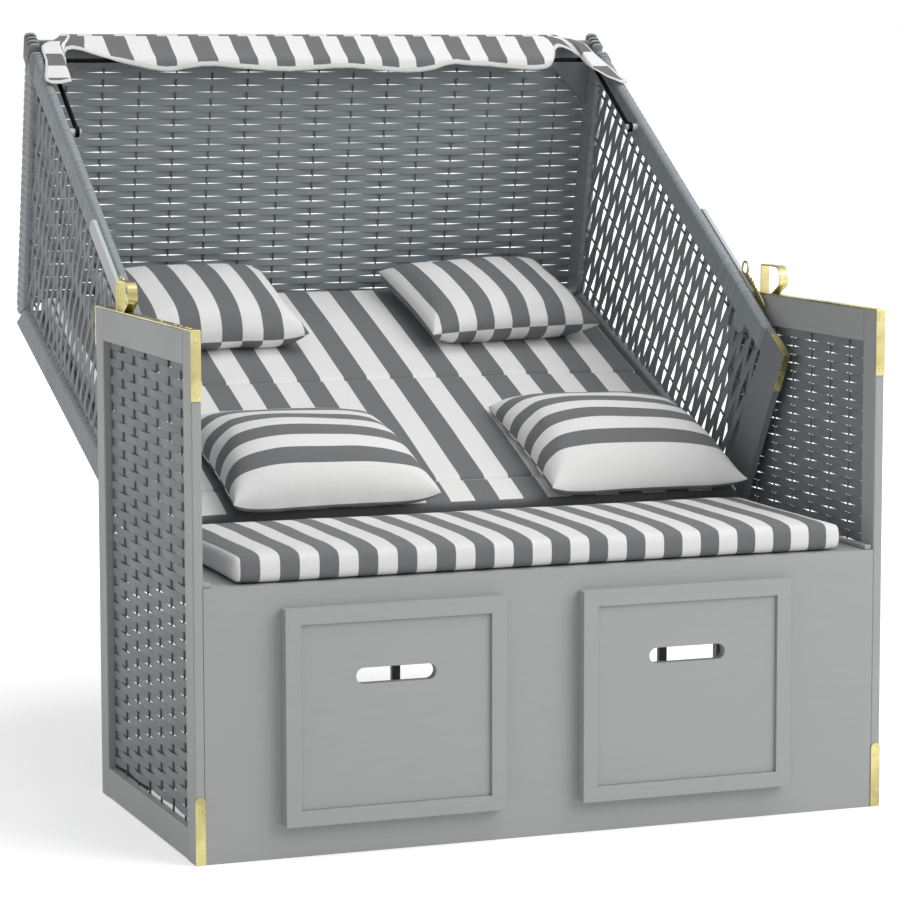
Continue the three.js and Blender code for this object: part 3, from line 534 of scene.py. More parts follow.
@dataclass(frozen=True)
class FlatStrip(Finish):
    """Flat extruded strips of the weave and of the wrapping, with streaks along each strip."""

    pitch: float = 0.0132
    # How dark the painted shade in the line between two turns of a wrapping is, or 0 for none.
    gap_shade: float = 0.0

    def build(self) -> bpy.types.Material:
        """Return the material, which reads the piece's strip map."""
        material, tree, shader, place = self.start()
        strip_map = tree.add("UVMap", uv_map="strip").outputs[0]
        streak = tree.noise(tree.stretched(strip_map, (3.0, 900.0, 1.0)), 1.0, 4.0)
        along = tree.add("SeparateXYZ", strip_map).outputs["Y"]
        row = tree.math("FLOOR", tree.math("DIVIDE", along, self.pitch))
        random = tree.add("TexWhiteNoise", noise_dimensions="1D")
        tree.feed(random.inputs["W"], row)
        chance = random.outputs["Value"]
        streaked = tree.math("MULTIPLY", streak, 0.7)
        shade = tree.math("ADD", streaked, tree.math("MULTIPLY", chance, 0.3))
        tinted = tree.mix(shade, self.shade(0.78), self.shade(1.22))
        if self.gap_shade:
            tinted = self._shade_gaps(tree, along, chance, tinted)
        tree.feed(shader.inputs["Base Color"], tinted)
        wear = tree.effect(EFFECTS.wear(), Vector=place)
        self.roughen(tree, shader, wear["Patches"], 0.2, self.roughness - 0.1)
        self.bump(tree, shader, streak, 0.4, 0.0003)
        return material

    def _shade_gaps(self, tree: Tree, along: object, chance: object, tinted: object) -> Socket:
        """Paint shade into the line between two turns, more at some turns than at others.

        Args:
            tree: the material's tree.
            along: the place along the bound piece.
            chance: a value for each turn from 0 to 1.
            tinted: the colour without the lines.

        Returns:
            The colour with the lines.
        """
        turn = tree.math("FRACT", tree.math("DIVIDE", along, self.pitch))
        gap = tree.math("MULTIPLY", tree.math("POWER", chance, 3.0), 0.11)
        line = tree.math("LESS_THAN", turn, tree.math("ADD", gap, 0.035))
        # The line takes a near-black colour: painted shade in the gap between turns.
        return tree.mix(tree.math("MULTIPLY", line, self.gap_shade), tinted, self.shade(0.16))


@dataclass(frozen=True)
class StripedCloth(Finish):
    """Outdoor canvas in wide woven stripes of grey and white."""

    dark: Color = (0.1, 0.1, 0.1, 1.0)
    frame: Matrix = field(default_factory=lambda: Matrix.Identity(4))
    axis: int = 0
    start_at: float = 0.0
    period: float = 0.089

    def build(self) -> bpy.types.Material:
        """Return the material; its stripes run by an axis of the piece's stripe map."""
        material, tree, shader, place = self.start()
        own = tree.placed(place, self.frame, (1.0, 1.0, 1.0))
        parts = tree.add("SeparateXYZ", tree.add("UVMap", uv_map="stripe").outputs[0]).outputs
        facts = {"Distance": parts[self.axis], "Start": self.start_at, "Period": self.period}
        band = tree.effect(EFFECTS.stripes(), **facts)
        threads = tree.effect(EFFECTS.threads(), Vector=own, Count=150.0)
        colour = tree.mix(band["Mask"], self.color, self.dark)
        slubs = tree.math("MULTIPLY", threads["Slub"], 0.12)
        tree.feed(shader.inputs["Base Color"], tree.mix(slubs, colour, (0.35, 0.35, 0.35, 1.0)))
        shader.inputs["Sheen Weight"].default_value = 0.12
        shader.inputs["Sheen Roughness"].default_value = 0.5
        self.bump(tree, shader, threads["Height"], 0.2, 0.0004)
        return material


@dataclass(frozen=True)
class PlainCloth(Finish):
    """White hem binding and piping."""

    def build(self) -> bpy.types.Material:
        """Return the material."""
        material, tree, shader, place = self.start()
        threads = tree.effect(EFFECTS.threads(), Vector=place, Count=260.0)
        colour = tree.mix(threads["Slub"], self.shade(0.85), self.color)
        tree.feed(shader.inputs["Base Color"], colour)
        shader.inputs["Sheen Weight"].default_value = 0.2
        self.bump(tree, shader, threads["Height"], 0.3, 0.0004)
        return material


@dataclass(frozen=True)
class Metal(Finish):
    """Polished brass or painted rod, with fine draw marks, worn specks, and dark patches that are
    partly oxide and partly painted dark reflections.
    """

    metallic: float = 1.0
    marks: float = 0.15
    specular: float = 0.5
    # How strongly the dark patches show: partly oxide, partly painted dark reflections.
    tarnish_and_dark_reflections: float = 0.3

    def build(self) -> bpy.types.Material:
        """Return the material."""
        material, tree, shader, place = self.start()
        shader.inputs["Metallic"].default_value = self.metallic
        shader.inputs["Specular IOR Level"].default_value = self.specular
        mark = tree.noise(tree.stretched(place, (1.0, 1.0, 14.0)), 90.0, 5.0)
        wear = tree.effect(EFFECTS.wear(), Vector=place, Amount=0.4)
        dark = self.shade(0.50)
        # Dark patches: partly oxide, partly painted reflections of darker surroundings on the
        # polished metal.
        oxide_and_reflection_patches = tree.math("MULTIPLY", tree.ramp(wear["Patches"], 0.42, 0.60), self.tarnish_and_dark_reflections)
        patched = tree.mix(oxide_and_reflection_patches, self.color, dark)
        tree.feed(shader.inputs["Base Color"], tree.mix(wear["Specks"], patched, dark))
        self.roughen(tree, shader, mark, self.marks, self.roughness)
        self.bump(tree, shader, mark, 0.12, 0.0002, edge=0.0006)
        return material


@dataclass
class HoodShape:
    """The outline of the hood's sides, in its upright frame, and lines drawn from it."""

    toe: Vector = field(default_factory=lambda: Vector((-0.018, -0.178)))
    heel: Vector = field(default_factory=lambda: Vector((0.321, -0.122)))
    rear_top: Vector = field(default_factory=lambda: Vector((0.321, 0.737)))
    peak: Vector = field(default_factory=lambda: Vector((-0.218, 0.822)))
    inner_half: float = 0.545
    outer_half: float = 0.563
    front_stile: float = 0.050
    roof_stile: float = 0.060
    back_stile: float = 0.055
    end_board: float = 0.078

    def __post_init__(self) -> None:
        """Work out the directions of the four edges."""
        self.front_way = (self.peak - self.toe).normalized()
        self.front_in = Vector((self.front_way.y, -self.front_way.x))
        self.bottom_way = (self.heel - self.toe).normalized()
        self.bottom_in = Vector((-self.bottom_way.y, self.bottom_way.x))
        self.roof_way = (self.rear_top - self.peak).normalized()
        self.roof_in = Vector((self.roof_way.y, -self.roof_way.x))

    def stile_middle(self, side: Side) -> float:
        """Return where the middle of a side's stiles lies across the hood."""
        return side.value * (self.inner_half + self.outer_half) / 2

    def on_front(self, along: float, inward: float) -> Vector:
        """Return the point a way along the front edge from the toe, and inward of it."""
        return self.toe + along * self.front_way + inward * self.front_in

    def opening(self, spare: float) -> list[Vector]:
        """Return the corners of the woven side, grown by spare under the stiles.

        Args:
            spare: the way that the weave goes under each stile.

        Returns:
            The corners at the toe, heel, rear top and peak.
        """
        front = self.on_front(0.0, self.front_stile - spare)
        roof = self.peak + (self.roof_stile - spare) * self.roof_in
        back = Vector((self.heel.x - self.back_stile + spare, 0.0))
        end = self.toe + (self.end_board - spare) * self.bottom_in
        up = Vector((0.0, 1.0))
        return [
            crossing(front, self.front_way, end, self.bottom_way),
            crossing(back, up, end, self.bottom_way),
            crossing(back, up, roof, self.roof_way),
            crossing(front, self.front_way, roof, self.roof_way),
        ]


def crossing(first: Vector, first_way: Vector, second: Vector, second_way: Vector) -> Vector:
    """Return the point where two lines in a plane cross.

    Args:
        first: a point on the first line.
        first_way: the first line's direction.
        second: a point on the second line.
        second_way: the second line's direction.

    Returns:
        The crossing.
    """
    between = second - first
    scale = between.cross(second_way) / first_way.cross(second_way)
    return first + scale * first_way


def hood_frame(across: Vector, along: Vector, origin: Vector) -> Matrix:
    """Return the matrix of a plane in the hood, drawn in the hood's upright frame.

    Args:
        across: the plane's first axis.
        along: the plane's second axis.
        origin: the plane's origin.

    Returns:
        The matrix from the plane to the frame of the chair.
    """
    out = across.cross(along)
    local = Matrix((across, along, out)).transposed().to_4x4()
    return HOOD @ Matrix.Translation(origin) @ local


def in_hood(point: Vector, across: float = 0.0) -> Vector:
    """Return a point or a way of the side outline as one of the upright hood."""
    return Vector((across, point.x, point.y))


def rectangle(low_u: float, low_v: float, high_u: float, high_v: float) -> list[Point]:
    """Return the corners of an upright rectangle, going round from the lowest."""
    return [(low_u, low_v), (high_u, low_v), (high_u, high_v), (low_u, high_v)]


@dataclass
class WovenPanel:
    """A panel of flat strips that pass in front of and behind round stakes in turn."""

    name: str
    node: str
    body: str
    frame: Matrix
    corners: list[Point]
    pitch: float = 0.01253
    strip: float = 0.0123
    thickness: float = 0.0011
    stake_gap: float = 0.0694
    stake_start: float = 0.0
    row_start: float = 0.0
    lift: float = 0.0022
    stake_radius: float = 0.0014
    steps: int = 8
    narrowing: float = 0.0009
    pinch_power: float = 3.0
    vary: float = 0.0
    least_run: float = 0.02
    row_offset: float = 0.31

    def _span(self, level: float, across: bool) -> Optional[Point]:
        """Return where a line across or along the panel enters and leaves its outline.

        Args:
            level: the line's place.
            across: whether the line runs along the first axis.

        Returns:
            The two ends, or None where the line misses the panel.
        """
        hits = []
        for (u0, v0), (u1, v1) in zip(self.corners, self.corners[1:] + self.corners[:1]):
            a, b = (v0, v1) if across else (u0, u1)
            p, q = (u0, u1) if across else (v0, v1)
            if (a - level) * (b - level) < 0:
                hits.append(p + (q - p) * (level - a) / (b - a))
        return (min(hits), max(hits)) if len(hits) >= 2 else None

    def build(self, strips: bpy.types.Material, stakes: bpy.types.Material) -> bpy.types.Object:
        """Weave the panel, and set it in place of its plain node.

        Args:
            strips: the strips' finish.
            stakes: the stakes' finish.

        Returns:
            The woven object.
        """
        bm = bmesh.new()
        strip_map = bm.loops.layers.uv.new("strip")
        levels = [v for _, v in self.corners]
        first = math.ceil((min(levels) - self.row_start) / self.pitch - 0.5)
        last = math.floor((max(levels) - self.row_start) / self.pitch + 0.5)
        for row in range(first, last + 1):
            level = self.row_start + row * self.pitch
            low, high = level - self.strip / 2, level + self.strip / 2
            if low < min(levels) or high > max(levels):
                continue
            span = self._span(level, True)
            if span is not None and span[1] - span[0] > self.least_run:
                self._strip(bm, strip_map, row, level, span)
        self._stakes(bm)
        bm.transform(self.frame)
        panel = mesh_object(self.name, bm, strips, stakes, smooth=True)
        wall = panel.modifiers.new("wall", "SOLIDIFY")
        wall.thickness = self.thickness
        wall.offset = 0.0
        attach(panel, self.body)
        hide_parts(self.node)
        return panel

    def _strip(
        self,
        bm: bmesh.types.BMesh,
        strip_map: bmesh.types.BMLayerItem,
        row: int,
        level: float,
        span: Point,
    ) -> None:
        """Add one strip in its wave, narrowed where it passes a stake.

        Args:
            bm: the panel's mesh.
            strip_map: the layer that the finish reads.
            row: the strip's number.
            level: the strip's middle.
            span: the strip's two ends.
        """
        length = span[1] - span[0]
        segments = max(4, int(length / self.stake_gap * self.steps))
        place = Matrix.Translation(((span[0] + span[1]) / 2, level, 0.0))
        size = Matrix.Diagonal((length / 2, self.strip / 2, 1.0, 1.0))
        flat = place @ size
        made = bmesh.ops.create_grid(bm, x_segments=segments, y_segments=1, size=1.0, matrix=flat)
        sign = 1.0 if row % 2 else -1.0
        step = self.stake_gap / self.steps
        for vert in made["verts"]:
            if span[0] + 0.001 < vert.co.x < span[1] - 0.001:
                vert.co.x = self.stake_start + round((vert.co.x - self.stake_start) / step) * step
            turn = (vert.co.x - self.stake_start) / self.stake_gap * math.pi
            wave = math.cos(turn) * sign
            edge = math.copysign(1.0, vert.co.y - level)
            vert.co.z = self.lift * wave * (1.0 + self.vary * math.cos(turn))
            vert.co.y -= edge * self.narrowing * abs(wave) ** self.pinch_power
        for face in {face for vert in made["verts"] for face in vert.link_faces}:
            for loop in face.loops:
                place = loop.vert.co
                across = level + (place.y - level) * 0.9
                loop[strip_map].uv = (place.x + self.row_offset * row, across)
            for edge in face.edges:
                if edge.is_boundary:
                    edge.smooth = False

    def _stakes(self, bm: bmesh.types.BMesh) -> None:
        """Add the round stakes.

        Args:
            bm: the panel's mesh.
        """
        places = [u for u, _ in self.corners]
        first = math.ceil((min(places) - self.stake_start) / self.stake_gap)
        last = math.floor((max(places) - self.stake_start) / self.stake_gap)
        turn = Matrix.Rotation(math.pi / 2, 4, "X")
        for number in range(first, last + 1):
            level = self.stake_start + number * self.stake_gap
            span = self._span(level, False)
            if span is None or span[1] - span[0] < self.least_run:
                continue
            made = bmesh.ops.create_cone(
                bm,
                cap_ends=True,
                segments=8,
                radius1=self.stake_radius,
                radius2=self.stake_radius,
                depth=span[1] - span[0],
                matrix=Matrix.Translation((level, (span[0] + span[1]) / 2, 0.0)) @ turn,
            )
            for face in {face for vert in made["verts"] for face in vert.link_faces}:
                face.material_index = 1


@dataclass
class WrappedStile:
    """A hood stile bound with a flat strip: a copy of its node, ridged at each turn."""

    node: str
    frame: Matrix
    pitch: float = 0.0142
    swell: float = 0.0014
    rounding: float = 0.006
    bound_from: float = 0.0
    cuts: tuple[float, ...] = (0.0, 0.18, 0.5, 0.82)

    def _round(self, bm: bmesh.types.BMesh, way: Vector) -> None:
        """Round the long edges of the bound part.

        Args:
            bm: the copy of the node.
            way: the direction of the stile.
        """
        longs = []
        for edge in bm.edges:
            first, second = (vert.co for vert in edge.verts)
            if not edge.is_manifold or (second - first).length < 0.1:
                continue
            if abs((second - first).normalized().dot(way)) < 0.95:
                continue
            if edge.calc_face_angle(0.0) < 0.5:
                continue
            if min(abs(first.x), abs(second.x)) >= self.bound_from:
                longs.append(edge)
        round_edges(bm, longs, self.rounding, segments=4)

    def build(self, material: bpy.types.Material, bare: bpy.types.Material) -> bpy.types.Object:
        """Cut the copy at each turn, swell each turn, and replace the node.

        Args:
            material: the binding's finish.
            bare: the finish of the block inside the binding.

        Returns:
            The wrapped object.
        """
        bm = bmesh.new()
        bm.from_mesh(bpy.data.objects[self.node].data)
        bmesh.ops.remove_doubles(bm, verts=bm.verts, dist=0.00002)
        bmesh.ops.dissolve_limit(bm, angle_limit=0.02, verts=bm.verts, edges=bm.edges)
        back = self.frame.inverted()
        levels = [(back @ vert.co).y for vert in bm.verts]
        normal = (self.frame.to_3x3() @ Vector((0.0, 1.0, 0.0))).normalized()
        self._round(bm, normal)
        first = math.floor(min(levels) / self.pitch)
        last = math.ceil(max(levels) / self.pitch)
        for turn in range(first, last + 1):
            for part in self.cuts:
                level = (turn + part) * self.pitch
                if not min(levels) < level < max(levels):
                    continue
                cut_along(bm, self.frame @ Vector((0.0, level, 0.0)), normal, 0.00001)
        bm.normal_update()
        outs = {}
        for vert in bm.verts:
            place = back @ vert.co
            share = (place.y / self.pitch) % 1.0
            lift = self.swell * (1.0 - abs(2.0 * share - 1.0) ** 3) - 0.3 * self.swell
            out = vert.normal - normal * vert.normal.dot(normal)
            if self.bound_from and out.x * math.copysign(1.0, vert.co.x) < -0.3:
                lift = min(lift, 0.0)
            bound = out.length > 0.3 and abs(vert.co.x) >= self.bound_from
            outs[vert] = out.normalized() * lift if bound else Vector()
        for vert, move in outs.items():
            vert.co += move
        strip_map = bm.loops.layers.uv.new("strip")
        for face in bm.faces:
            for loop in face.loops:
                place = back @ loop.vert.co
                middle = back @ face.calc_center_median()
                around = place.x + place.z
                loop[strip_map].uv = (around, middle.y + (place.y - middle.y) * 0.5)
            if min(abs(vert.co.x) for vert in face.verts) < self.bound_from:
                face.material_index = 1
        wrapped = mesh_object(self.node + "_wrap", bm, material, bare)
        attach(wrapped, "hood")
        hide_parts(self.node)
        return wrapped


@dataclass
class Pad:
    """What every cushion and pillow shares: its cover is blown up as cloth, then sewn."""

    name: str
    node: str
    body: str
    frame: Matrix
    width: float
    depth: float
    rise: float
    fall: float
    fill: float = 0.7
    pressure: float = 4.0
    cap: float = 0.005
    seams: tuple[float, ...] = ()
    seam_depth: float = 0.005
    seam_width: float = 0.0028
    cord_rise: float = 0.0014
    cord_width: float = 0.0008
    dents: float = 0.0
    seed: int = 1
    frames: int = 20

    def _shape(self) -> bmesh.types.BMesh:
        """Return the cover before it is filled, in the pad's own frame."""
        raise NotImplementedError

    def build(self, *materials: bpy.types.Material) -> bpy.types.Object:
        """Make the pad, and set it in place of its plain node.

        Args:
            *materials: the cover's cloths, by the material index of its faces.

        Returns:
            The finished pad.
        """
        bm = self._shape()
        bm.transform(self.frame)
        pad = mesh_object(self.name, bm, smooth=True)
        self._swell(pad)
        self._sew(pad)
        finer = pad.modifiers.new("finer", "SUBSURF")
        finer.levels = finer.render_levels = 1
        for material in materials:
            pad.data.materials.append(material)
        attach(pad, self.body)
        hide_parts(self.node)
        LOG.info("%s made", self.name)
        return pad

    def _swell(self, pad: bpy.types.Object) -> None:
        """Blow the cover up as cloth, and keep each point within the cap of its start.

        Args:
            pad: the pad's object.
        """
        scene = bpy.context.scene
        before = [vert.co.copy() for vert in pad.data.vertices]
        cloth = pad.modifiers.new("cover", "CLOTH")
        settings = cloth.settings
        settings.quality = 5
        settings.mass = 0.25
        settings.tension_stiffness = settings.compression_stiffness = 14.0
        settings.bending_stiffness = 0.4
        settings.use_pressure = True
        settings.uniform_pressure_force = self.pressure
        settings.effector_weights.gravity = 0.0
        cloth.collision_settings.use_collision = False
        cloth.point_cache.frame_start = 1
        cloth.point_cache.frame_end = self.frames
        for frame in range(1, self.frames + 1):
            scene.frame_set(frame)
        graph = bpy.context.evaluated_depsgraph_get()
        blown = bpy.data.meshes.new_from_object(pad.evaluated_get(graph))
        pad.modifiers.clear()
        for vert, start in zip(blown.vertices, before):
            move = vert.co - start
            if move.length > self.cap:
                vert.co = start + move.normalized() * self.cap
        pad.data = blown
        scene.frame_set(1)
        for polygon in blown.polygons:
            polygon.use_smooth = True

    def _sew(self, pad: bpy.types.Object) -> None:
        """Cut and press the sewn channels, add soft dents, and keep the pad in its space.

        Args:
            pad: the pad's object.
        """
        back = self.frame.inverted()
        across = (self.frame.to_3x3() @ Vector((0.0, 1.0, 0.0))).normalized()
        bm = bmesh.new()
        bm.from_mesh(pad.data)
        for seam in self.seams:
            for level in SEAM_CUTS:
                cut_along(bm, self.frame @ Vector((0.0, seam + level, 0.0)), across, 0.0001)
        for vert in bm.verts:
            place = back @ vert.co
            for seam in self.seams:
                near = math.exp(-(((place.y - seam) / self.seam_width) ** 2))
                cord = math.exp(-(((place.y - seam) / self.cord_width) ** 2))
                press = self.seam_depth * near - self.cord_rise * cord
                place.z -= math.copysign(min(press, abs(place.z) * 0.5), place.z)
            if self.dents and place.z > 0:
                ripple = noise.noise(Vector((place.x * 9 + self.seed, place.y * 9, self.seed)))
                small = noise.noise(Vector((place.x * 30, place.y * 30, self.seed + 3.0)))
                fade = min(1.0, place.z / (0.5 * self.rise))
                place.z += self.dents * (ripple + 0.35 * small) * fade
            place.z = max(place.z, -self.fall)
            vert.co = self.frame @ place
        for face in bm.faces:
            middle = back @ face.calc_center_median()
            if any(abs(middle.y - seam) < CORD_HALF for seam in self.seams):
                face.material_index = 1
        bm.to_mesh(pad.data)
        bm.free()


@dataclass
class BoxedCushion(Pad):
    """A flat cushion with an upright side all round, its ends and sides drawn in a little."""

    cell: float = 0.018
    crown: float = 0.003
    draw_in: float = 0.004
    pinch: float = 0.0
    # A place on the stripes that every face of the end at -y takes, so that end shows one grey
    # stripe as painted shade; None keeps the stripes there.
    painted_shade_end: Optional[float] = None

    def _shape(self) -> bmesh.types.BMesh:
        """Return a block with an even net of faces, crowned and drawn in."""
        bm = bmesh.new()
        bmesh.ops.create_cube(bm, size=1.0)
        cuts = (
            max(2, round(self.width / self.cell)),
            max(2, round(self.depth / self.cell)),
            2,
        )
        for axis, count in enumerate(cuts):
            along = [
                edge
                for edge in bm.edges
                if abs((edge.verts[0].co - edge.verts[1].co)[axis]) > 1e-6
            ]
            bmesh.ops.subdivide_edges(bm, edges=along, cuts=count, use_grid_fill=True)
        thick = self.rise + self.fall
        ends, fronts = {}, {}
        for vert in bm.verts:
            u, v, w = (2.0 * value for value in vert.co)
            side = 1.0 if w > 0 else -1.0
            x = u * (self.width / 2 - self.draw_in * (1 - v * v))
            y = v * (self.depth / 2 - self.draw_in * (1 - u * u) - self.pinch * abs(u) ** 8)
            z = w * thick / 2 + (self.rise - self.fall) / 2
            top = (1 - u**4) * (1 - v**4)
            z += side * self.crown * (top - 1) if abs(w) > 0.9 else 0.0
            bulge = (1 - w * w) * 0.003
            x += math.copysign(bulge, u) if abs(u) > 0.999 else 0.0
            y += math.copysign(bulge, v) if abs(v) > 0.999 else 0.0
            vert.co = Vector((x, y, z))
            ends[vert] = abs(u) > 0.999
            fronts[vert] = v < -0.999
        bmesh.ops.recalc_face_normals(bm, faces=bm.faces)
        stripe_map = bm.loops.layers.uv.new("stripe")
        for face in bm.faces:
            boxed = all(ends[vert] for vert in face.verts)
            for loop in face.loops:
                drop = 0.5 * (self.rise - loop.vert.co.z) if boxed else 0.0
                place = loop.vert.co.x + math.copysign(drop, loop.vert.co.x)
                # The end at -y takes one place on the stripes: painted shade.
                if self.painted_shade_end is not None and all(fronts[vert] for vert in face.verts):
                    place = self.painted_shade_end
                loop[stripe_map].uv = (place, loop.vert.co.y)
        return bm


@dataclass
class Pillow(Pad):
    """A loose pillow of two covers sewn together at their edges."""

    top_at: float = -0.1
    front_power: float = 2.6
    rear_power: float = 2.2
    side_power: float = 2.6
    front_sag: float = 0.0
    rear_drop: float = 0.0
    ears: float = 0.0
    lean: float = 0.0
    draw_in: float = 0.045
    rear_corners: float = 0.03
    last_stripe: float = -1.0
    cells: int = 34

    def _along(self, v: float) -> Point:
        """Return where a row of the cover lies, and how full the pillow is there.

        Args:
            v: the row, from -1 at the front to 1.

        Returns:
            The place along the pillow, from -1 to 1, and the fullness from 0 to 1.
        """
        high = self.top_at
        if v < high:
            angle = (v + 1) / (high + 1) * math.pi / 2
            place = high - (high + 1) * max(0.0, math.cos(angle)) ** (2 / self.front_power)
            return place, max(0.0, math.sin(angle)) ** (2 / self.front_power)
        angle = (v - high) / (1 - high) * math.pi / 2
        place = high + (1 - high) * max(0.0, math.sin(angle)) ** (2 / self.rear_power)
        return place, max(0.0, math.cos(angle)) ** (2 / self.rear_power)

    def _shape(self) -> bmesh.types.BMesh:
        """Return the two covers, welded at the seam."""
        bm = bmesh.new()
        count = self.cells
        bmesh.ops.create_grid(bm, x_segments=count, y_segments=count, size=1.0)
        copy = bmesh.ops.duplicate(bm, geom=bm.verts[:] + bm.edges[:] + bm.faces[:])
        lower = {item for item in copy["geom"] if isinstance(item, bmesh.types.BMVert)}
        under = [item for item in copy["geom"] if isinstance(item, bmesh.types.BMFace)]
        bmesh.ops.reverse_faces(bm, faces=under)
        for face in under:
            face.material_index = 1
        for vert in bm.verts:
            y, full = self._along(vert.co.y)
            angle = vert.co.x * math.pi / 2
            x = math.copysign(abs(math.sin(angle)) ** (2 / self.side_power), vert.co.x)
            full *= max(0.0, math.cos(angle)) ** (2 / self.side_power)
            front, rear, side = (1 - y) / 2, (1 + y) / 2, abs(x) ** 6
            seam = self.ears * front**4 * side - self.front_sag * front**2 * (1 - side)
            seam -= self.rear_drop * rear**2
            if vert in lower:
                full = math.sqrt(max(0.0, 1 - abs(x) ** 5) * max(0.0, 1 - abs(y) ** 5))
                z = seam * (1 - full) - self.fall * full
            else:
                z = seam * (1 - full) + self.rise * (1 - self.lean * x) * full
            inward = 1 - self.rear_corners * (abs(x) * max(0.0, y)) ** 4
            vert.co = Vector(
                (
                    inward * x * self.width / 2 * (1 - self.draw_in * (1 - y * y)),
                    inward * y * self.depth / 2 * (1 - self.draw_in * (1 - x * x)),
                    z,
                )
            )
        stripe_map = bm.loops.layers.uv.new("stripe")
        for face in bm.faces:
            for loop in face.loops:
                place = loop.vert.co
                loop[stripe_map].uv = (place.x, max(place.y, self.last_stripe))
        bmesh.ops.remove_doubles(bm, verts=bm.verts, dist=0.0002)
        return bm


@dataclass
class Base:
    """The base: boards, woven sides, straps, latches and footrests."""

    inner_half: float = 0.574
    outer_half: float = 0.590
    depth: float = 0.565
    arm_height: float = 0.826
    strap: float = 0.002
    screw_radius: float = 0.0036

    def build(self, kit: "Finishes") -> None:
        """Dress the whole base.

        Args:
            kit: the finishes.
        """
        for side in Side:
            label = side.label
            dress(kit.wood_up, f"{label}_front_post", f"{label}_rear_post")
            dress(kit.wood_along, f"{label}_arm_rail", f"{label}_sill_rail")
            dress(kit.wood_across, f"{label}_footrest_frame", f"{label}_footrest_panel")
            dress(kit.wood_along, f"{label}_footrest_carcass")
            dress(kit.wood_along, f"{label}_footrest_left_runner", f"{label}_footrest_right_runner")
            dress(kit.brass, f"{label}_arm_strap", f"{label}_foot_strap")
            dress(kit.brass, f"{label}_latch_hoop", f"{label}_pivot_pin")
            self._side_weave(side, kit)
            self._screws(side, kit.brass)
            self._batten(side, kit.wood_along)
        dress(kit.wood_across, "front_board", "rear_frame", "seat_board")
        LOG.info("base dressed")

    def _side_weave(self, side: Side, kit: "Finishes") -> None:
        """Weave one side panel of the base.

        Args:
            side: the side.
            kit: the finishes.
        """
        low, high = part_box(f"{side.label}_side_weave")
        middle = (low.x + high.x) / 2
        basis = Matrix(((0, 0, side.value), (1, 0, 0), (0, 1, 0))).to_4x4()
        frame = Matrix.Translation((middle, 0.0, 0.0)) @ basis
        spare = 0.004
        corners = rectangle(low.y - spare, low.z - spare, high.y + spare, high.z + spare)
        WovenPanel(
            name=f"{side.label}_side_strips",
            node=f"{side.label}_side_weave",
            body="base",
            frame=frame,
            corners=corners,
            pitch=0.0146,
            strip=0.01455,
            stake_gap=0.0695,
            stake_start=low.y + 0.054,
            row_start=low.z,
            lift=0.0017,
            narrowing=0.0012,
            pinch_power=10.0,
        ).build(kit.base_strip, kit.stake)

    def _batten(self, side: Side, wood: bpy.types.Material) -> None:
        """Fix the batten that closes the gap between the seat board and one woven side.

        Args:
            side: the side.
            wood: its paint.
        """
        bm = bmesh.new()
        low = Vector((0.5605, REAR_SHIFT + 0.004, 0.4312))
        high = Vector((0.5737, REAR_SHIFT + 0.520, 0.4385))
        place = (low + high) / 2
        place.x *= side.value
        block = Matrix.Translation(place) @ Matrix.Diagonal((*(high - low), 1.0))
        bmesh.ops.create_cube(bm, size=1.0, matrix=block)
        round_edges(bm, bm.edges[:], 0.0015)
        batten = mesh_object(f"{side.label}_seat_batten", bm, wood)
        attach(batten, "base")

    def _screws(self, side: Side, brass: bpy.types.Material) -> None:
        """Put domed screw heads on the straps of one side, each with a sunk middle.

        Args:
            side: the side.
            brass: their finish.
        """
        middle = side.value * (self.inner_half + self.outer_half) / 2
        front = REAR_SHIFT - self.strap
        rear = REAR_SHIFT + self.depth + self.strap + 0.003
        top = self.arm_height + self.strap
        spots = [(Vector((middle, front, up)), FACING_FRONT) for up in (0.729, 0.811, 0.016, 0.086)]
        spots.append((Vector((middle, rear, 0.778)), FACING_REAR))
        for back in (0.028, 0.048, 0.080, 0.110, 0.190, 0.535):
            spots.append((Vector((middle, REAR_SHIFT + back, top)), FACING_UP))
        radius = self.screw_radius
        bm = bmesh.new()
        for number, (place, turn) in enumerate(spots):
            spin = Matrix.Rotation(0.7 * number + 0.4, 4, "Z")
            sunk = Matrix.Translation((0, 0, 0.0005))
            head = bmesh.ops.create_cone(
                bm,
                cap_ends=True,
                segments=16,
                radius1=radius,
                radius2=radius * 0.62,
                depth=0.0012,
                matrix=Matrix.Translation(place) @ turn @ spin @ sunk,
            )
            faces = {face for vert in head["verts"] for face in vert.link_faces}
            heights = {}
            for face in (face for face in faces if len(face.verts) > 4):
                heights[face] = (turn.inverted() @ (face.calc_center_median() - place)).z
            outer = max(heights, key=heights.get)
            bmesh.ops.inset_region(bm, faces=[outer], thickness=radius * 0.22, depth=-0.0004)
        heads = mesh_object(f"{side.label}_strap_screws", bm, brass)
        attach(heads, "base")


def dress(material: bpy.types.Material, *nodes: str) -> None:
    """Give CAD nodes a finish.

    Args:
        material: the finish.
        *nodes: the nodes' names.
    """
    for node in nodes:
        piece = bpy.data.objects[node]
        piece.data.materials.clear()
        piece.data.materials.append(material)


HOOD_GREY = srgb(128, 131, 133)


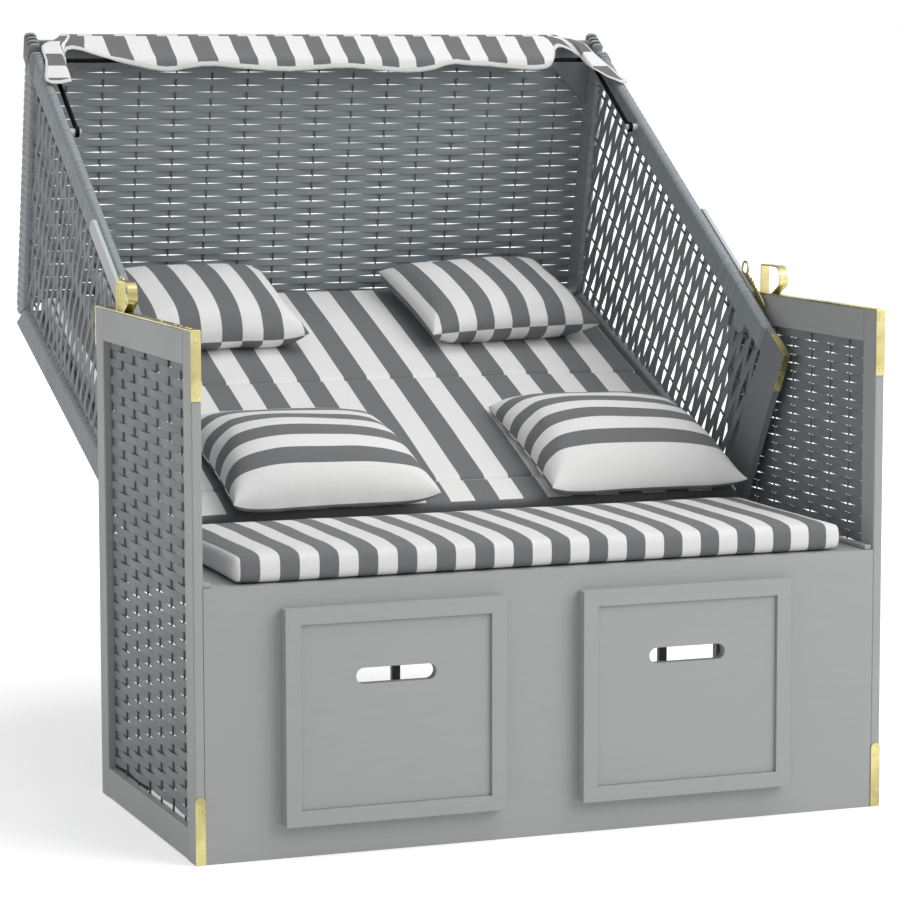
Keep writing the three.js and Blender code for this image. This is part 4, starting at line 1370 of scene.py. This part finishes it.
class Finishes:
    """All the materials of the chair."""

    def __init__(self) -> None:
        """Build each material once."""
        for run in Run:
            paint = PaintedWood(f"Grey paint {run.value}", srgb(171, 173, 173), 0.5, run=run)
            setattr(self, f"wood_{run.value}", paint.build())
        self.hood_wood = self._hood_paint("Hood paint", HOOD_GREY, 0.5, Run.ALONG)
        self.rail_wood = self._hood_paint("Rail paint", srgb(198, 202, 204), 0.45, Run.UP)
        self.top_wood = self._hood_paint("Top rail paint", HOOD_GREY, 0.5, Run.ACROSS)
        self.base_strip = FlatStrip("Side strips", srgb(126, 132, 135), 0.55, pitch=0.0146).build()
        self.hood_strip = FlatStrip("Hood strips", srgb(130, 136, 139), 0.55, pitch=0.0158).build()
        panel = FlatStrip("Panel strips", srgb(141, 147, 150), 0.55, pitch=0.01253)
        self.panel_strip = panel.build()
        stake = Metal("Grey stakes", srgb(112, 116, 118), 0.5, metallic=0.0, marks=0.2)
        self.stake = stake.build()
        self.bare = self._hood_paint("Bare block", srgb(206, 206, 203), 0.6, Run.UP)
        # The binding strips get painted shade in the lines between their turns.
        bound = FlatStrip("Binding strips", srgb(146, 152, 156), 0.5, pitch=0.0142, gap_shade=0.35)
        self.wrap_strip = bound.build()
        self.lashing = FlatStrip("Lashing strips", srgb(138, 144, 148), 0.5, pitch=0.0108).build()
        self.brass = Metal("Polished brass", (0.66, 0.59, 0.27, 1.0), 0.20, tarnish_and_dark_reflections=0.8).build()
        # This finish also colours the sunken rings between the lashing turns, as painted shade in
        # their gaps.
        black = (0.002, 0.002, 0.002, 1.0)
        self.black = Metal("Black rod", black, 0.4, metallic=0.0, marks=0.1, specular=0.06).build()
        self.hem = PlainCloth("White binding", srgb(232, 232, 230), 0.85).build()

    def _hood_paint(self, name: str, color: Color, roughness: float, run: Run) -> bpy.types.Material:
        """Build a paint whose grain follows the hood."""
        return PaintedWood(name, color, roughness, frame=HOOD, run=run).build()


@dataclass
class Hood:
    """The hood: wrapped stiles, end boards, woven panels, lock rails and racks."""

    shape: HoodShape = field(default_factory=HoodShape)
    lashings: tuple[Point, ...] = (
        (-0.0020, 0.0076), (0.0098, 0.0076), (0.0215, 0.0076), (0.0335, 0.0076),
        (0.0640, 0.0062), (0.0730, 0.0062), (0.0820, 0.0062),
    )  # fmt: skip

    def build(self, kit: Finishes) -> None:
        """Dress the whole hood.

        Args:
            kit: the finishes.
        """
        shape = self.shape
        for side in Side:
            label = side.label
            dress(kit.hood_wood, f"{label}_end_board")
            dress(kit.rail_wood, f"{label}_lock_rail")
            dress(kit.brass, f"{label}_rack", f"{label}_corner_strap")
            self._stiles(side, kit)
            self._lashings(side, kit)
            self._side(side, kit)
        dress(kit.top_wood, "top_rail", "backrest_board")
        self._roof(kit)
        self._back(kit)
        rear_top = Vector((0, shape.heel.x, shape.rear_top.y))
        rail = WrappedStile("rear_rail", hood_frame(BACKWARDS, ACROSS, rear_top))
        rail.build(kit.wrap_strip, kit.bare)
        LOG.info("hood dressed")

    def _stiles(self, side: Side, kit: Finishes) -> None:
        """Wrap the three stiles of one side.

        Args:
            side: the side.
            kit: the finishes.
        """
        shape = self.shape
        ways = {
            "front_stile": (shape.front_way, shape.toe),
            "roof_stile": (shape.roof_way, shape.peak),
            "back_stile": (Vector((0.0, 1.0)), shape.heel),
        }
        for part, (way, origin) in ways.items():
            frame = hood_frame(ACROSS, in_hood(way), in_hood(origin))
            stile = WrappedStile(f"{side.label}_{part}", frame, bound_from=0.5435)
            stile.build(kit.wrap_strip, kit.bare)

    def _lashings(self, side: Side, kit: Finishes) -> None:
        """Bind the top of the front stile with a few round turns, with a sunken black ring between
        the first ones as painted shade in their gaps.

        Args:
            side: the side.
            kit: the finishes.
        """
        bm = bmesh.new()
        strip_map = bm.loops.layers.uv.new("strip")
        for number, (far, width) in enumerate(self.lashings):
            tilt = min(1.0, 0.3 * number)
            self._turn(bm, side, far, width, tilt, 0.0)
            if number < 3:
                # A sunken black ring behind the gap to the next turn: painted shade in that gap.
                old = set(bm.faces)
                self._turn(bm, side, far + 0.0059, 0.0050, tilt, -0.0009)
                for face in set(bm.faces) - old:
                    face.material_index = 1
        back = hood_frame(ACROSS, in_hood(-self.shape.front_way), Vector()).inverted()
        for face in bm.faces:
            for loop in face.loops:
                place = back @ loop.vert.co
                loop[strip_map].uv = (place.x + place.z, place.y)
        name = f"{side.label}_peak_lashing"
        bound = mesh_object(name, bm, kit.lashing, kit.black, smooth=True)
        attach(bound, "hood")

    def _turn(
        self,
        bm: bmesh.types.BMesh,
        side: Side,
        far: float,
        width: float,
        tilt: float,
        spare: float,
    ) -> None:
        """Add one turn of the lashing.

        Args:
            bm: the lashing's mesh.
            side: the side.
            far: how far the turn is below the peak.
            width: the turn's width.
            tilt: 0 for a turn that lies along the roof, 1 for one square to the stile.
            spare: how much the turn stands out more than the others.
        """
        shape = self.shape
        way = shape.roof_way.lerp(shape.front_in, tilt).normalized()
        deep = shape.front_stile + 0.003 + 2 * spare
        spot = shape.peak - far * shape.front_way + (shape.front_stile / 2 - 0.001) * way
        frame = hood_frame(ACROSS, in_hood(way), in_hood(spot, shape.stile_middle(side)))
        size = Vector((shape.outer_half - shape.inner_half + 0.005 + 2 * spare, deep, width))
        ring = bmesh.new()
        bmesh.ops.create_cube(ring, size=1.0, matrix=Matrix.Diagonal((*size, 1.0)))
        ends = {edge: [vert.co.z for vert in edge.verts] for edge in ring.edges}
        upright = [edge for edge, (low, high) in ends.items() if abs(low - high) > 1e-6]
        round_edges(ring, upright, 0.0085, segments=5)
        caps = [face for face in ring.faces if abs(face.normal.z) > 0.9]
        rims = {edge for face in caps for edge in face.edges}
        round_edges(ring, list(rims), min(0.0022, 0.3 * width))
        ring.transform(frame)
        part = bpy.data.meshes.new("turn")
        ring.to_mesh(part)
        ring.free()
        bm.from_mesh(part)
        bpy.data.meshes.remove(part)

    def _side(self, side: Side, kit: Finishes) -> None:
        """Weave one side of the hood, its stakes along the front edge.

        Args:
            side: the side.
            kit: the finishes.
        """
        shape = self.shape
        origin = in_hood(shape.toe, shape.stile_middle(side))
        frame = hood_frame(in_hood(shape.front_in), in_hood(shape.front_way), origin)
        ways = [corner - shape.toe for corner in shape.opening(0.005)]
        WovenPanel(
            name=f"{side.label}_hood_strips",
            node=f"{side.label}_hood_weave",
            body="hood",
            frame=frame,
            corners=[(way.dot(shape.front_in), way.dot(shape.front_way)) for way in ways],
            pitch=0.0158,
            strip=0.0138,
            stake_gap=0.086,
            stake_start=0.07,
            lift=0.0028,
            stake_radius=0.0017,
            narrowing=0.0012,
        ).build(kit.hood_strip, kit.stake)

    def _roof(self, kit: Finishes) -> None:
        """Weave the roof, which starts a little behind the peak."""
        shape = self.shape
        set_in = shape.peak + 0.005 * shape.roof_in
        frame = hood_frame(ACROSS, in_hood(shape.roof_way), in_hood(set_in))
        length = (shape.rear_top - shape.peak).length
        self._wide_panel("roof", frame, 0.012, length - 0.026, kit)

    def _back(self, kit: Finishes) -> None:
        """Weave the back."""
        shape = self.shape
        frame = hood_frame(ACROSS, UPWARDS, Vector((0.0, 0.313, 0.0)))
        self._wide_panel("back", frame, shape.heel.y + 0.002, shape.rear_top.y - 0.048, kit)

    def _wide_panel(self, part: str, frame: Matrix, low: float, high: float, kit: Finishes) -> None:
        """Weave a panel from side to side of the hood.

        Args:
            part: the word that starts its names.
            frame: its frame.
            low: where it starts along its stakes.
            high: where it ends along its stakes.
            kit: the finishes.
        """
        half = self.shape.inner_half + 0.003
        WovenPanel(
            name=f"{part}_strips",
            node=f"{part}_weave",
            body="hood",
            frame=frame,
            corners=rectangle(-half, low, half, high),
            stake_start=0.001,
            lift=0.0024,
            narrowing=0.00028,
            vary=0.2,
        ).build(kit.panel_strip, kit.stake)


@dataclass
class Cushions:
    """The seat cushion, the backrest cushion and the four pillows."""

    white: Color = field(default_factory=lambda: srgb(242, 242, 241))
    grey: Color = field(default_factory=lambda: srgb(108, 109, 111))

    def cloth(self, name: str, **facts: object) -> bpy.types.Material:
        """Return a striped cloth in the two colours."""
        return StripedCloth(name, self.white, 0.85, dark=self.grey, **facts).build()

    def build(self, cord: bpy.types.Material) -> None:
        """Make all six.

        Args:
            cord: the light cord in the backrest's channels.
        """
        self._seat()
        self._back(cord)
        self._pillows()
        LOG.info("cushions made")

    def _seat(self) -> None:
        """Make the seat cushion."""
        frame = Matrix.Translation((0.0, REAR_SHIFT + 0.2015, 0.431 + 0.0144))
        cloth = self.cloth("Seat cloth", frame=frame, start_at=0.023, period=0.0652)
        BoxedCushion(
            name="seat_pad",
            node="seat_cushion",
            body="base",
            frame=frame,
            width=1.044,
            depth=0.391,
            rise=0.0326,
            fall=0.0141,
            cap=0.0045,
            fill=0.85,
            dents=0.0012,
            pinch=0.004,
        ).build(cloth)

    def _back(self, cord: bpy.types.Material) -> None:
        """Make the backrest cushion.

        Args:
            cord: the light cord in its channels.
        """
        middle = (0.712 - 0.156) / 2
        frame = hood_frame(ACROSS, UPWARDS, Vector((0.0, 0.286 - 0.0102, middle)))
        cloth = self.cloth("Backrest cloth", frame=frame, start_at=0.055, period=0.089)
        BoxedCushion(
            name="backrest_pad",
            node="backrest_cushion",
            body="hood",
            frame=frame,
            width=1.052,
            depth=0.864,
            rise=0.0232,
            fall=0.0100,
            cap=0.003,
            fill=0.85,
            cell=0.02,
            crown=0.002,
            seams=(-0.069 - middle, 0.318 - middle),
            seam_depth=0.0065,
            dents=0.0010,
            seed=4,
            # The lower end shows as one grey stripe: painted shade under the pillows.
            painted_shade_end=0.055,
        ).build(cloth, cord)

    def _pillows(self) -> None:
        """Make the four pillows on the places of their nodes."""
        lap = {"width": 0.370, "depth": 0.370, "fall": 0.0217, "ears": 0.012, "rear_corners": 0.06}
        left = {
            **lap, "rise": 0.0740, "top_at": -0.194, "front_power": 2.72, "rear_power": 1.29,
            "side_power": 2.84, "front_sag": 0.006, "rear_drop": 0.0184, "lean": 0.148,
            "last_stripe": -0.1755,
        }  # fmt: skip
        right = {
            **lap, "rise": 0.0708, "top_at": -0.170, "front_power": 1.85, "rear_power": 1.51,
            "side_power": 2.68, "front_sag": 0.0015, "rear_drop": 0.0132, "lean": 0.149,
            "last_stripe": -0.148,
        }  # fmt: skip
        head = {"width": 0.352, "depth": 0.292, "rise": 0.043, "fall": 0.0417}
        sagging = {**head, "front_sag": 0.014}
        spots = {
            "left_lap": (-0.233, 0.230, -0.002, 1.0, left, 1, -0.1257, 0.0706),
            "right_lap": (0.338, 0.230, -0.002, 0.0, right, 1, -0.0992, 0.0702),
            "left_head": (-0.272, 0.210, 0.562, 2.0, sagging, 0, 0.0277, 0.0789),
            "right_head": (0.300, 0.210, 0.558, 4.0, head, 0, 0.012, 0.0734),
        }
        for number, (label, spot) in enumerate(spots.items()):
            across, forward, height, turn, sizes, axis, start, period = spot
            flat = hood_frame(ACROSS, UPWARDS, Vector((across, forward, height)))
            frame = flat @ Matrix.Rotation(math.radians(turn), 4, "Z")
            facts = {"frame": frame, "axis": axis, "period": period}
            upper = self.cloth(f"{label} upper cloth", start_at=start, **facts)
            under = self.cloth(f"{label} under cloth", start_at=start + period / 2, **facts)
            Pillow(
                name=f"{label}_cover",
                node=f"{label}_pillow",
                body="hood",
                frame=frame,
                fill=0.6,
                dents=0.003,
                seed=7 + number,
                **sizes,
            ).build(upper, under)


def smooth(value: float, low: float, high: float) -> float:
    """Return a soft step from 0 at low to 1 at high."""
    share = max(0.0, min(1.0, (value - low) / (high - low)))
    return share * share * (3 - 2 * share)


def between(value: float, table: Sequence[Point]) -> float:
    """Read a table of points, straight between them and level past its ends.

    Args:
        value: the first coordinate.
        table: the points, in rising order.

    Returns:
        The second coordinate.
    """
    if value <= table[0][0]:
        return table[0][1]
    for (x0, y0), (x1, y1) in zip(table, table[1:]):
        if value <= x1:
            return y0 + (y1 - y0) * (value - x0) / (x1 - x0)
    return table[-1][1]


# The height of the hem over the middle of the bow, in millimetres, from left to right.
HEM = (
    (-563, -36), (-553, -41), (-535, -41), (-505, -35), (-504, -8), (-502, 12), (-496, 19),
    (-484, 21), (-468, 18), (-449, 11), (-430, 5), (-402, -3.5), (-374, -10), (-346, -16),
    (-318, -20), (-299, -19), (-280, -15), (-251, -11), (-222, -10), (-184, -14), (-155, -16),
    (-117, -19), (-78, -20), (-39, -18), (0, -15), (40, -14), (79, -17), (119, -21),
    (149, -23), (179, -22), (209, -17), (229, -10), (249, -7), (280, -10), (320, -12),
    (361, -16), (402, -19), (433, -17), (445, -10), (453, 5), (464, 19), (474, 24), (484, 24),
    (498, 17), (508, 0), (514, -19), (534, -35), (551, -44), (563, -44),
)  # fmt: skip
# Where each grey stripe starts, in millimetres, from left to right.
STRIPES = (
    -754, -671, -588, -505, -422, -339, -260, -181, -108, -37, 30, 98, 166, 239, 312, 390, 462,
    540, 618, 696,
)  # fmt: skip
# How far out each flap's outer edge is, in millimetres, by the way down from the peak.
FLAPS = {
    Side.LEFT: (
        (0, 498), (11, 507), (24, 518), (31, 528), (41, 540), (51, 547), (91, 547), (118, 553),
        (153, 562),
    ),
    Side.RIGHT: (
        (0, 478), (9, 486), (16, 504), (27, 515), (38, 524), (59, 529), (77, 535), (95, 541),
        (116, 546), (137, 551), (157, 556), (164, 563),
    ),
}  # fmt: skip


@dataclass
class Awning:
    """The folded awning: its bow, the striped sheet over it and the flap over each stile."""

    shape: HoodShape = field(default_factory=HoodShape)
    bow: Vector = field(default_factory=lambda: Vector((-0.1925, 0.7586)))
    rod: float = 0.004
    half: float = 0.563
    inner: float = 0.44
    neck: float = 0.506
    binding: float = 0.009
    pocket: float = 0.006
    pocket_shift: float = 0.018
    lean: float = 0.07
    roof_skin: float = -0.0012
    flap_skin: float = 0.0052
    wall: float = 0.0011
    columns: tuple[int, int] = (40, 150)
    rows: int = 16
    flap_edge: Point = (0.499, 0.516)
    inner_edge: Point = (0.5025, 0.513)
    inner_edge_from: float = 0.060
    longest: float = 0.2
    step: float = 0.0005
    sway: float = 0.0032
    roof_rows: tuple[float, ...] = (-0.045, -0.030, -0.015, -0.005)

    def build(self, kit: Finishes, cloth: bpy.types.Material) -> None:
        """Dress the bow and hang the sheet.

        Args:
            kit: the finishes.
            cloth: the striped cloth.
        """
        dress(kit.black, "awning_bow")
        self.peak = self._world(self.shape.peak)
        self.middle = self._world(self.bow)
        self.down_stile = (self._world(self.shape.toe) - self.peak).normalized()
        self.off_stile = Vector((self.down_stile.y, -self.down_stile.x))
        self.roof_back = (self._world(self.shape.rear_top) - self.peak).normalized()
        self.roof_up = Vector((-self.roof_back.y, self.roof_back.x))
        if self.roof_up.y < 0:
            self.roof_up = -self.roof_up
        sheet = self._sheet(cloth, kit.hem)
        LOG.info("%s made", sheet.name)

    def _world(self, point: Vector) -> Vector:
        """Return a point of the upright hood as its y and z in the chair's frame."""
        return (HOOD @ in_hood(point)).yz

    def _over_bow(self, far: float) -> Vector:
        """Return the sheet's place between the stiles: down to the bow, over it and hanging.

        Args:
            far: the way along the cloth from the peak.

        Returns:
            The place's y and z.
        """
        start = self.peak + self.roof_up * self.roof_skin + self.off_stile * 0.0006
        knee = self.peak + self.down_stile * 0.0204 + self.off_stile * 0.0010
        first = (knee - start).length
        if far <= first:
            return start.lerp(knee, far / first)
        along = (self.middle - knee).normalized()
        off = Vector((along.y, -along.x))
        ring = self.rod + 0.002
        touch = self.middle + ring * off
        reach = first + (touch - knee).length
        if far <= reach:
            share = (far - first) / (reach - first)
            return knee.lerp(touch, share) - off * (0.0012 * math.sin(math.pi * share))
        turn = math.atan2(off.y, off.x)
        left = math.pi - turn
        if far <= reach + ring * left:
            angle = turn + (far - reach) / ring
            return self.middle + ring * Vector((math.cos(angle), math.sin(angle)))
        hang = far - reach - ring * left
        return self.middle + Vector((-ring - 0.05 * hang, -hang))

    def _down_stile(self, far: float) -> Vector:
        """Return the flap's place on the front of a stile.

        Args:
            far: the way along the cloth from the peak.

        Returns:
            The place's y and z.
        """
        lift = 0.0006 + (self.flap_skin - 0.0006) * smooth(far, 0.006, 0.042)
        lift += 0.0016 * math.sin(far * 55.0) * smooth(far, 0.03, 0.05)
        return self.peak + self.down_stile * far + self.off_stile * lift

    def _out(self, across: float, far: float) -> float:
        """Return where a column lies across, drawn in near the peak.

        Args:
            across: the column's place across, at the hem.
            far: the way along the cloth from the peak.

        Returns:
            The place across.
        """
        side = abs(across)
        if side <= self.inner:
            return across
        fan = MM * between(far / MM, FLAPS[Side.LEFT if across < 0 else Side.RIGHT])
        neck = min(self.neck, self.inner + (fan - self.inner) * 0.72)
        if side <= self.neck:
            wide = self.neck - self.inner
            side = self.inner + (side - self.inner) * (neck - self.inner) / wide
        else:
            side = neck + (side - self.neck) * (fan - neck) / (self.half - self.neck)
        return math.copysign(side, across)

    def _column(self, across: float) -> list[tuple[Vector, float]]:
        """Return one column of the sheet, from the roof to the hem.

        Args:
            across: the column's place across, at the hem.

        Returns:
            For each row its point and its way along the cloth from the peak.
        """
        flap = self._flap(across)
        limit = self.middle.y + MM * between(across / MM, HEM)

        def spot(far: float) -> Vector:
            """Return the sheet's point at a way along this column."""
            place = self._over_bow(far).lerp(self._down_stile(far), flap)
            fold = math.sin(across * 31.0 + 0.8) * 0.5 + math.sin(across * 67.0) * 0.3
            hang = smooth(far, 0.030, 0.095) * (1 - flap)
            place.x -= self.sway * hang * (1.0 + fold)
            return Vector((self._out(across, far), place.x, place.y))

        end = 0.0
        while end < self.longest and spot(end).z > limit:
            end += self.step
        steps = [*self.roof_rows, 0.0, self.pocket]
        bound = end - self.binding
        spread = self.rows - 2
        steps += [self.pocket + (bound - self.pocket) * (n + 1) / spread for n in range(spread)]
        steps += [bound + self.binding * 0.55, end]
        column = []
        for far in steps:
            if far < 0:
                flat = self.peak + self.roof_back * -far + self.roof_up * self.roof_skin
                column.append((Vector((self._out(across, 0.0), flat.x, flat.y)), far))
            else:
                column.append((spot(far), far))
        return column

    def _flap(self, across: float) -> float:
        """Return 1 where a column belongs to the flap over a stile, and 0 between the stiles."""
        return smooth(abs(across), *self.flap_edge)

    def _cloth_place(self, across: float, far: float) -> float:
        """Return the cloth's own coordinate, across its stripes.

        Args:
            across: the column's place across.
            far: the way along the cloth from the peak.

        Returns:
            The coordinate, as read in the table of stripes.
        """
        flap = self._flap(across)
        straight = across - self.lean * max(0.0, far)
        down = -0.559 - far if across < 0 else 0.528 + 0.75 * far
        return straight * (1 - flap) + down * flap

    def _sheet(self, cloth: bpy.types.Material, hem: bpy.types.Material) -> bpy.types.Object:
        """Make the sheet with its stripes and its white binding.

        Args:
            cloth: the striped cloth.
            hem: the binding.

        Returns:
            The sheet.
        """
        ends, run = self.columns
        edge = (self.half - self.inner) / ends
        places = [-self.half + edge * n for n in range(ends)]
        places += [self.inner * (2 * n / run - 1) for n in range(run)]
        places += [self.inner + edge * n for n in range(ends + 1)]
        table = [self._column(across) for across in places]
        count = len(places) - 1
        rows = len(table[0]) - 1
        bm = bmesh.new()
        bmesh.ops.create_grid(bm, x_segments=count, y_segments=rows, size=1.0)
        spots = {}
        for vert in bm.verts:
            column = round((vert.co.x + 1) / 2 * count)
            row = round((1 - vert.co.y) / 2 * rows)
            spots[vert] = (column, row)
        for vert, (column, row) in spots.items():
            vert.co = table[column][row][0]
        starts = [(MM * start, float(number)) for number, start in enumerate(STRIPES)]
        stripe_map = bm.loops.layers.uv.new("stripe")
        for face in bm.faces:
            upper = min(spots[vert][1] for vert in face.verts)
            first = min(spots[vert][0] for vert in face.verts)
            side = (abs(places[first]) + abs(places[first + 1])) / 2
            within = self.inner_edge[0] < side < self.inner_edge[1]
            inner_edge = within and table[first][upper][1] > self.inner_edge_from
            if upper >= rows - 2 or first < 2 or first >= count - 2 or inner_edge:
                face.material_index = 1
            shift = self.pocket_shift if upper < 5 else 0.0
            for loop in face.loops:
                column, row = spots[loop.vert]
                far = table[column][row][1]
                place = self._cloth_place(places[column], far) + shift
                loop[stripe_map].uv = (between(place, starts), far)
        sheet = mesh_object("awning_sheet", bm, cloth, hem, smooth=True)
        wall = sheet.modifiers.new("wall", "SOLIDIFY")
        wall.thickness = self.wall
        wall.offset = 1.0
        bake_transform(sheet)
        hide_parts("awning_canopy")
        return sheet


@dataclass
class Studio:
    """The pale floor, the soft lamps and the camera."""

    ambient: float = 0.47
    lamps: dict[str, tuple[Point3, float, float]] = field(
        default_factory=lambda: {
            "key": ((3.2, -4.0, 3.4), 4.0, 132.0),
            "top": ((0.8, -0.8, 4.6), 3.2, 54.0),
        }
    )
    aim: Point3 = (0.0, 0.0, 0.6)
    camera_turn: Point3 = (20.57497, 6.60857, -0.09976)
    camera_place: Point3 = (-2.000568, -4.875265 + REAR_SHIFT, 1.231203)
    lens: float = 134.118

    def build(self) -> None:
        """Set the whole stage."""
        self._floor()
        self._world()
        self._lamps()
        self._camera()

    def _floor(self) -> None:
        """Lay the floor, which shows white to the camera apart from the chair's shadow."""
        bm = bmesh.new()
        bmesh.ops.create_grid(bm, x_segments=1, y_segments=1, size=40.0)
        material = bpy.data.materials.new("Studio floor")
        tree = empty_tree(material)
        paint = tree.add("BsdfDiffuse", (0.80, 0.80, 0.80, 1.0))
        place = tree.add("TexCoord").outputs["Object"]
        far = tree.add("VectorMath", place, operation="LENGTH").outputs["Value"]
        glow = tree.add("Emission")
        tree.feed(glow.inputs["Strength"], tree.ramp(far, 0.8, 2.6, 0.50, 1.0))
        both = tree.add("AddShader", paint.outputs[0], glow.outputs[0])
        self._show(tree, "OutputMaterial", paint, both)
        floor = mesh_object("studio_floor", bm, material)
        floor.location = (0.0, 0.0, -0.0006)

    def _show(self, tree: Tree, output: str, lit: bpy.types.Node, seen: bpy.types.Node) -> None:
        """Give one shader to the rays that light the chair, and another to what is looked at.

        Args:
            tree: the tree that the nodes go into.
            output: the output node's type.
            lit: the shader for light that bounces.
            seen: the shader for a ray from the camera, a mirror-like face or glass.
        """
        rays = tree.add("LightPath").outputs
        mask = tree.math("MAXIMUM", rays["Is Camera Ray"], rays["Is Glossy Ray"])
        mask = tree.math("MAXIMUM", mask, rays["Is Transmission Ray"])
        pick = tree.add("MixShader", mask, lit.outputs[0], seen.outputs[0])
        tree.add(output, pick.outputs[0])

    def _world(self) -> None:
        """Give the world an even light, and show white behind the chair."""
        world = bpy.data.worlds.new("Studio")
        bpy.context.scene.world = world
        tree = empty_tree(world)
        white = (1.0, 1.0, 1.0, 1.0)
        light = tree.add("Background", white, self.ambient)
        self._show(tree, "OutputWorld", light, tree.add("Background", white, 1.0))

    def _lamps(self) -> None:
        """Hang the soft lamps."""
        for name, (place, size, power) in self.lamps.items():
            data = bpy.data.lights.new(name, "AREA")
            data.shape = "DISK"
            data.size = size
            data.energy = power
            lamp = placed_object(name, data)
            lamp.location = place
            way = Vector(self.aim) - Vector(place)
            lamp.rotation_euler = way.to_track_quat("-Z", "Y").to_euler()

    def _camera(self) -> None:
        """Set the camera where the photograph was taken."""
        yaw, pitch, roll = (math.radians(angle) for angle in self.camera_turn)
        level = math.cos(pitch)
        ahead = Vector((math.sin(yaw) * level, math.cos(yaw) * level, -math.sin(pitch)))
        right = Vector((math.cos(yaw), -math.sin(yaw), 0.0))
        up = right.cross(ahead)
        side = math.cos(roll) * right + math.sin(roll) * up
        top = -math.sin(roll) * right + math.cos(roll) * up
        turn = Matrix((side, top, -ahead)).transposed().to_4x4()
        data = bpy.data.cameras.new("photo_camera")
        data.lens = self.lens
        data.sensor_width = 36.0
        data.clip_end = 60.0
        camera = placed_object("photo_camera", data)
        camera.matrix_world = Matrix.Translation(self.camera_place) @ turn
        bpy.context.scene.camera = camera


def main() -> None:
    """Load the model, set the stage, and dress it piece by piece."""
    logging.basicConfig(level=logging.INFO, format="%(message)s")
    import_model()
    Studio().build()
    bpy.context.scene.view_settings.view_transform = "Standard"
    kit = Finishes()
    Base().build(kit)
    Hood().build(kit)
    cushions = Cushions()
    cushions.build(kit.hem)
    cloth = cushions.cloth("Awning cloth", start_at=0.24, period=1.0)
    Awning().build(kit, cloth)


if __name__ == "__main__":
    main()
